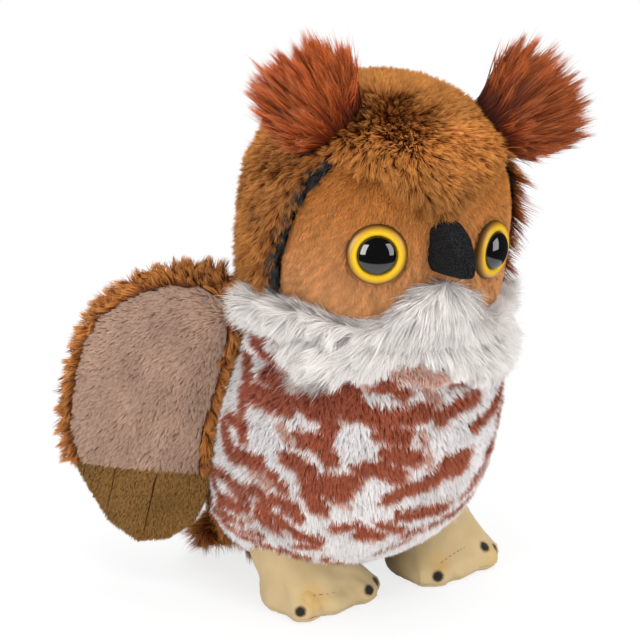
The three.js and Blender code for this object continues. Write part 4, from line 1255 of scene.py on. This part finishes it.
# %% The shape of a foot
NOTCH_AT, NOTCH_SPREAD, NOTCH_DEPTH = 31.0, 9.0, 0.19
NOTCH_LEFT = {("right", -1): 0.8, ("right", 1): 0.1, ("left", -1): 0.15, ("left", 1): 0.1}
NOTCH_HEIGHTS, NOTCH_FADE = [6.4, 8.8, 11.5, 15.0], [0.94, 0.76, 0.28, 0.0]
FOOT_MIDDLES = {"right": (-22.6, -6.25), "left": (29.4, -13.25)}
SOLE_SEAM, SEAM_CLOSED = 2.15, 0.3
HEEL_LEAN = {"right": 3.2, "left": 0.0}
LEAN_WAY = np.array([-0.74, 0.67])
TRIM_AT = [-90, -68, -50, -31, 9, 40, 60]
TRIM_TO = {"right": [1.0, 0.87, 0.96, 0.95, 0.86, 0.97, 1.0],
           "left": [1.0, 0.95, 0.98, 0.96, 0.88, 0.98, 1.0]}


def from_middle(points, side):
    """Each point of a foot in plan, and its direction in degrees from straight ahead."""
    plan = points[:, :2] - np.array(FOOT_MIDDLES[side])
    return plan, np.degrees(np.arctan2(plan[:, 0], -plan[:, 1]))


def foot_shape(points, side):
    """Plumps a foot, trims and leans it and closes the seam over its sole to a hair."""
    points = np.array(points, float)
    made = points.copy()
    plan, angle = from_middle(made, side)
    fade = NOTCH_DEPTH * np.interp(points[:, 2], NOTCH_HEIGHTS, NOTCH_FADE)
    scale = np.ones(len(points))
    for sign in (-1, 1):
        notch = fade * np.exp(-((angle - sign * NOTCH_AT) / NOTCH_SPREAD) ** 2)
        scale *= (1 - NOTCH_LEFT[side, sign] * notch) / (1 - notch)
    made[:, :2] += plan * (scale - 1)[:, None]
    plan, angle = from_middle(made, side)
    scale = np.interp(angle, TRIM_AT, TRIM_TO[side])
    made[:, :2] += plan * ((scale - 1) * share_of((17.0 - points[:, 2]) / 8.0))[:, None]
    made[:, :2] += HEEL_LEAN[side] * share_of((points[:, 2] - 5.0) / 13.0)[:, None] * LEAN_WAY
    above_sole = points[:, 2] > SOLE_SEAM - 0.1
    made[:, 2] -= SEAM_CLOSED * share_of(1 - (points[:, 2] - SOLE_SEAM) / 1.5) * above_sole
    return made


def shape_of(side):
    return lambda points: foot_shape(points, side)


def on_feet(spots):
    """The same spots once the feet are shaped."""
    return [tuple(foot_shape([spot], "right" if spot[0] < 0 else "left")[0]) for spot in spots]


# %% [markdown]
# The nap of velour is too short to draw. Its colour is a cloudy cream, with warm painted shade at a few places in
# the creases between the toes, and black at the dots. A dot is a distance from a measured place with a little
# noise, which gives it the soft rim of sprayed dye. A painted picture would do it as well, but it would need a map
# of the foot that isn't stretched over the toes.

# %% The velour
def velour():
    board, close = finish_of("foot_velour")
    place, thread = board.held("root", 1), board.held("along")
    ragged = 0.7 * (board.noise(place, 1.4, 3.0) - 0.5)

    def near_any(spots, far, close_by):
        total = board.step(board.distance(place, spots[0]) + ragged, far, close_by)
        for spot in spots[1:]:
            total = (total + board.step(board.distance(place, spot) + ragged, far, close_by)).least(1.0)
        return total

    cloth = board.mix(board.noise(place, 0.11, 2.0), colour("#b99e71"), colour("#cbb58b"))
    # Warm painted shade in the creases between the toes.
    crease_shaded = board.mix(near_any(on_feet(CREASE_SHADE_SPOTS), 7.0, 0.0) * 0.4, cloth, colour("#cf9f45"))
    dotted = board.mix(near_any(on_feet(TOE_DOTS), 2.7, 1.3) * 0.97, crease_shaded, colour("#0c0c0d"))
    return close(Base_Color=board.mix(thread, dotted, colour("#a5702a")), Roughness=0.85, Sheen_Weight=0.2,
                 Sheen_Roughness=0.4, Specular_IOR_Level=0.2,
                 Normal=board.dented(board.noise(place, 2.6, 3.0), 0.3, 0.0003))


# %% [markdown]
# What has no pile is its eased solid with creases pressed in. A crease could be a groove in the
# bump alone, but then its edge wouldn't show in the outline, so the points themselves are moved.
# Stitches are short threads laid along a line, each on the cloth nearest to it.

# %% Smooth pieces and their stitches
CREASE_DEPTH, CREASE_WIDTH = 0.55, 2.4
STITCH_STEP, STITCH_SHARE = 1.9, 0.55
THREAD, THREAD_SUNK = 0.42, 0.1


def smooth_piece(node, name, material, body, longest=2.2, rounds=18, hold=True, creases=(), sewn=(), shape=None):
    points, triangles = split(*solid_of(node), longest)
    points = eased(points, triangles, rounds, hold)
    if shape:
        points = shape(points)
        creases, sewn = ([shape(line) for line in lines] for lines in (creases, sewn))
    out = point_normals(points, triangles)
    for line in [*creases, *sewn]:
        pressed = np.exp(-(distance_to_line(points, line) / CREASE_WIDTH) ** 2)
        points = points - out * (CREASE_DEPTH * pressed)[:, None]
    parts = [backing(points, triangles, soft=False)] + [stitches(line, points, out) for line in sewn]
    return piece(parts, name, material, body, node, kept_normals=False)


def stitches(line, points, normals):
    tree = tree_of(points)
    starts, ends = [], []
    for a, b in zip(line[:-1], line[1:]):
        a, b = np.array(a), np.array(b)
        count = max(1, int(np.linalg.norm(b - a) / STITCH_STEP))
        for k in range(count):
            for share, out in ((k / count, starts), ((k + STITCH_SHARE) / count, ends)):
                spot = a + (b - a) * share
                nearest = tree.find(spot)[1]
                above = (spot - points[nearest]) @ normals[nearest]
                out.append(spot - normals[nearest] * (above - THREAD_SUNK))
    starts, ends = np.array(starts), np.array(ends)
    paths = (starts, (starts + ends) / 2, ends)
    thread = hairs(paths, THREAD, np.full(len(starts), 0.5), np.random.default_rng(7), steps=2)
    return thread._replace(along=np.ones(len(thread.points)))


cream = velour()
for side in SIDES:
    smooth_piece(f"foot_upper_{side}", f"foot_velour_{side}", cream, "owl", longest=1.5, rounds=30,
                 creases=CREASES[side], sewn=STITCHED[side], shape=shape_of(side))
    smooth_piece(f"foot_sole_{side}", f"sole_velour_{side}", cream, "owl", rounds=4, shape=shape_of(side))

# %% [markdown]
# The beak is felt, pressed wool without a nap, so a mottled black and a coarse bump are enough.
# The filling can't be seen, but it is what the toy is full of, and it shows when a panel is
# hidden. Both are fibre without a direction and share one recipe.


# %% The beak and the filling
def felted(name, dark, pale, scale, bump, shine, contrast=None):
    """Fibre without a nap: two tones mottled by a noise that is also its bump."""
    board, close = finish_of(name)
    fibre = board.noise(board.held("root", 1), scale, 5.0)
    cloth = board.mix(board.step(fibre, *contrast) if contrast else fibre, colour(dark), colour(pale))
    return close(Base_Color=cloth, Roughness=0.95, Normal=board.dented(fibre, *bump), Specular_IOR_Level=shine)


black_felt = felted("beak_felt", "#09090a", "#28282a", 2.4, (0.7, 0.0005), 0.15, contrast=(0.4, 0.7))
smooth_piece("beak", "beak_felt", black_felt, "owl", longest=1.2, rounds=16, hold=False)

white_fill = felted("fibrefill", "#d9d8d4", "#f6f5f2", 0.9, (0.9, 0.0008), 0.2)
FILLINGS = {"body_stuffing": "owl", "head_stuffing": "owl", "foot_stuffing_left": "owl",
            "foot_stuffing_right": "owl", "wing_batting_left": "wing_left", "wing_batting_right": "wing_right",
            "tail_batting": "tail"}
for node, body in FILLINGS.items():
    in_foot = "foot" in node
    stuffed = smooth_piece(node, f"{node}_fibre", white_fill, body, longest=3.0 if in_foot else 5.0, rounds=6,
                           shape=shape_of(node.split("_")[-1]) if in_foot else None)

# %% [markdown]
# The eyes are turned parts, so they are drawn again as smooth rounds on the axes of their solids.
# The ring is bright yellow inside and mustard towards its rim, and dark brown at its very edge, a painted shadow
# where the rim curves down into the cloth. The dome is plain gloss black: what is seen in it are the two cards and,
# below them, the table.

# %% The profiles of an eye, as radius and height
RING_PROFILE = [(0, -9.0), (2.0, -9.0), (2.0, -1.4), (9.0, -1.4), (9.5, -0.7), (9.6, -0.1), (9.54, 0.6),
                (9.3, 1.3), (8.9, 1.9), (8.35, 2.3), (7.75, 2.52), (7.2, 2.54), (6.7, 2.42), (6.35, 2.22),
                (6.2, 2.06), (6.17, 0.6), (0, 0.6)]
DOME_BASE, DOME_SPRING, DOME_RADIUS, DOME_RISE = 0.95, 2.05, 6.14, 3.15
DOME_PROFILE = [(0, DOME_BASE), (DOME_RADIUS, DOME_BASE)] + [
    (DOME_RADIUS * math.cos(a), DOME_SPRING + DOME_RISE * math.sin(a)) for a in np.linspace(0, math.pi / 2, 14)[:-1]
] + [(0, DOME_SPRING + DOME_RISE)]
SHADE_RADIUS = 10.0


# %% The eyes
def eye_axis(side):
    """The middle of an eye's seat and the direction that it looks in, from its dome's solid."""
    points, _ = solid_of(f"pupil_{side}")
    middle = points.mean(0)
    out = np.linalg.eigh(np.cov((points - middle).T))[1][:, 0]
    out = out if out @ (middle - HEAD_MIDDLE) > 0 else -out
    height = (points - middle) @ out
    base = points[height < height.min() + 0.05].mean(0)
    return base - DOME_BASE * out, out


def turned(profile, seat, out, steps=64):
    """A profile turned about an axis. Its shade tells how far from the axis each point is."""
    across = unit(np.cross(out, [0.0, 0.0, 1.0]))
    up = np.cross(across, out)
    angles = np.arange(steps) * 2 * math.pi / steps
    spoke = np.cos(angles)[:, None] * across + np.sin(angles)[:, None] * up
    lengths = [math.hypot(b[0] - a[0], b[1] - a[1]) for a, b in zip(profile[:-1], profile[1:])]
    far = np.concatenate([[0], np.cumsum(lengths)])
    far /= far[-1]
    rows = [seat + out * h + spoke * r for r, h in profile[1:-1]]
    points = np.concatenate([[seat + out * profile[0][1]], *rows, [seat + out * profile[-1][1]]])
    flat = np.stack([np.cos(angles), np.sin(angles)], 1)
    place = np.concatenate([[(0.5, 0.5)], *[0.5 + 0.48 * s * flat for s in far[1:-1]], [(0.5, 0.98)]])
    radius = np.concatenate([[0.0], *[np.full(steps, r) for r, _ in profile[1:-1]], [0.0]])
    here = np.arange(steps)
    after = (here + 1) % steps
    last = 1 + steps * (len(profile) - 2)
    ends = [np.stack([np.zeros(steps, int), 1 + after, 1 + here], 1),
            np.stack([last - steps + here, last - steps + after, np.full(steps, last)], 1)]
    quads = [np.stack([1 + k * steps + here, 1 + k * steps + after, 1 + (k + 1) * steps + after,
                       1 + (k + 1) * steps + here], 1) for k in range(len(profile) - 3)]
    return Part(points, ends + quads, np.zeros_like(points), points, np.zeros(len(points)),
                radius / SHADE_RADIUS, place)


def gloss(name, rough, base, coat, shine):
    board, close = finish_of(name)
    swirl = board.noise(board.held("root", 1), 0.9, 2.0)
    return close(Base_Color=base(board), Roughness=rough + 0.03 * swirl, Coat_Weight=coat, Coat_Roughness=0.06,
                 Specular_IOR_Level=shine)


# The darkest brown at the ring's outer edge is painted shade where the rim curves down into the cloth.
def ring_colour_and_shade(board):
    return board.ramp(board.held("shade"), (0.62, colour("#dcb106")), (0.72, colour("#e0b507")),
                      (0.81, colour("#c29304")), (0.87, colour("#976a04")), (0.92, colour("#6b4503")),
                      (0.95, colour("#3f2602")))


yellow = gloss("eye_yellow", 0.36, ring_colour_and_shade, coat=0.05, shine=0.5)
black = gloss("eye_black", 0.03, lambda board: colour("#030304"), coat=0.0, shine=1.0)
for side in SIDES:
    seat, out = eye_axis(side)
    piece([turned(RING_PROFILE, seat, out)], f"eye_ring_turned_{side}", yellow, "owl", f"eye_ring_{side}",
          kept_normals=False)
    piece([turned(DOME_PROFILE, seat, out)], f"pupil_turned_{side}", black, "owl", f"pupil_{side}",
          kept_normals=False)

# %% [markdown]
# Behind each eye a lock washer grips the shank. It is a plain moulded part with a real shape in
# its solid already, so it only gets its plastic.


# %% The washers
def washer_plastic():
    board, close = finish_of("washer_plastic")
    swirl = board.noise(board.node("ShaderNodeTexCoord", out="Object"), 900.0, 2.0)
    return close(Base_Color=colour("#e9e9e6"), Roughness=0.4 + 0.05 * swirl)


washer = washer_plastic()
for side in SIDES:
    thing = frame["nodes"][f"eye_washer_{side}"]
    thing.data.materials.clear()
    thing.data.materials.append(washer)

# %% [markdown]
# Last, the scene is brought up to date.

# %% The end
bpy.context.view_layer.update()
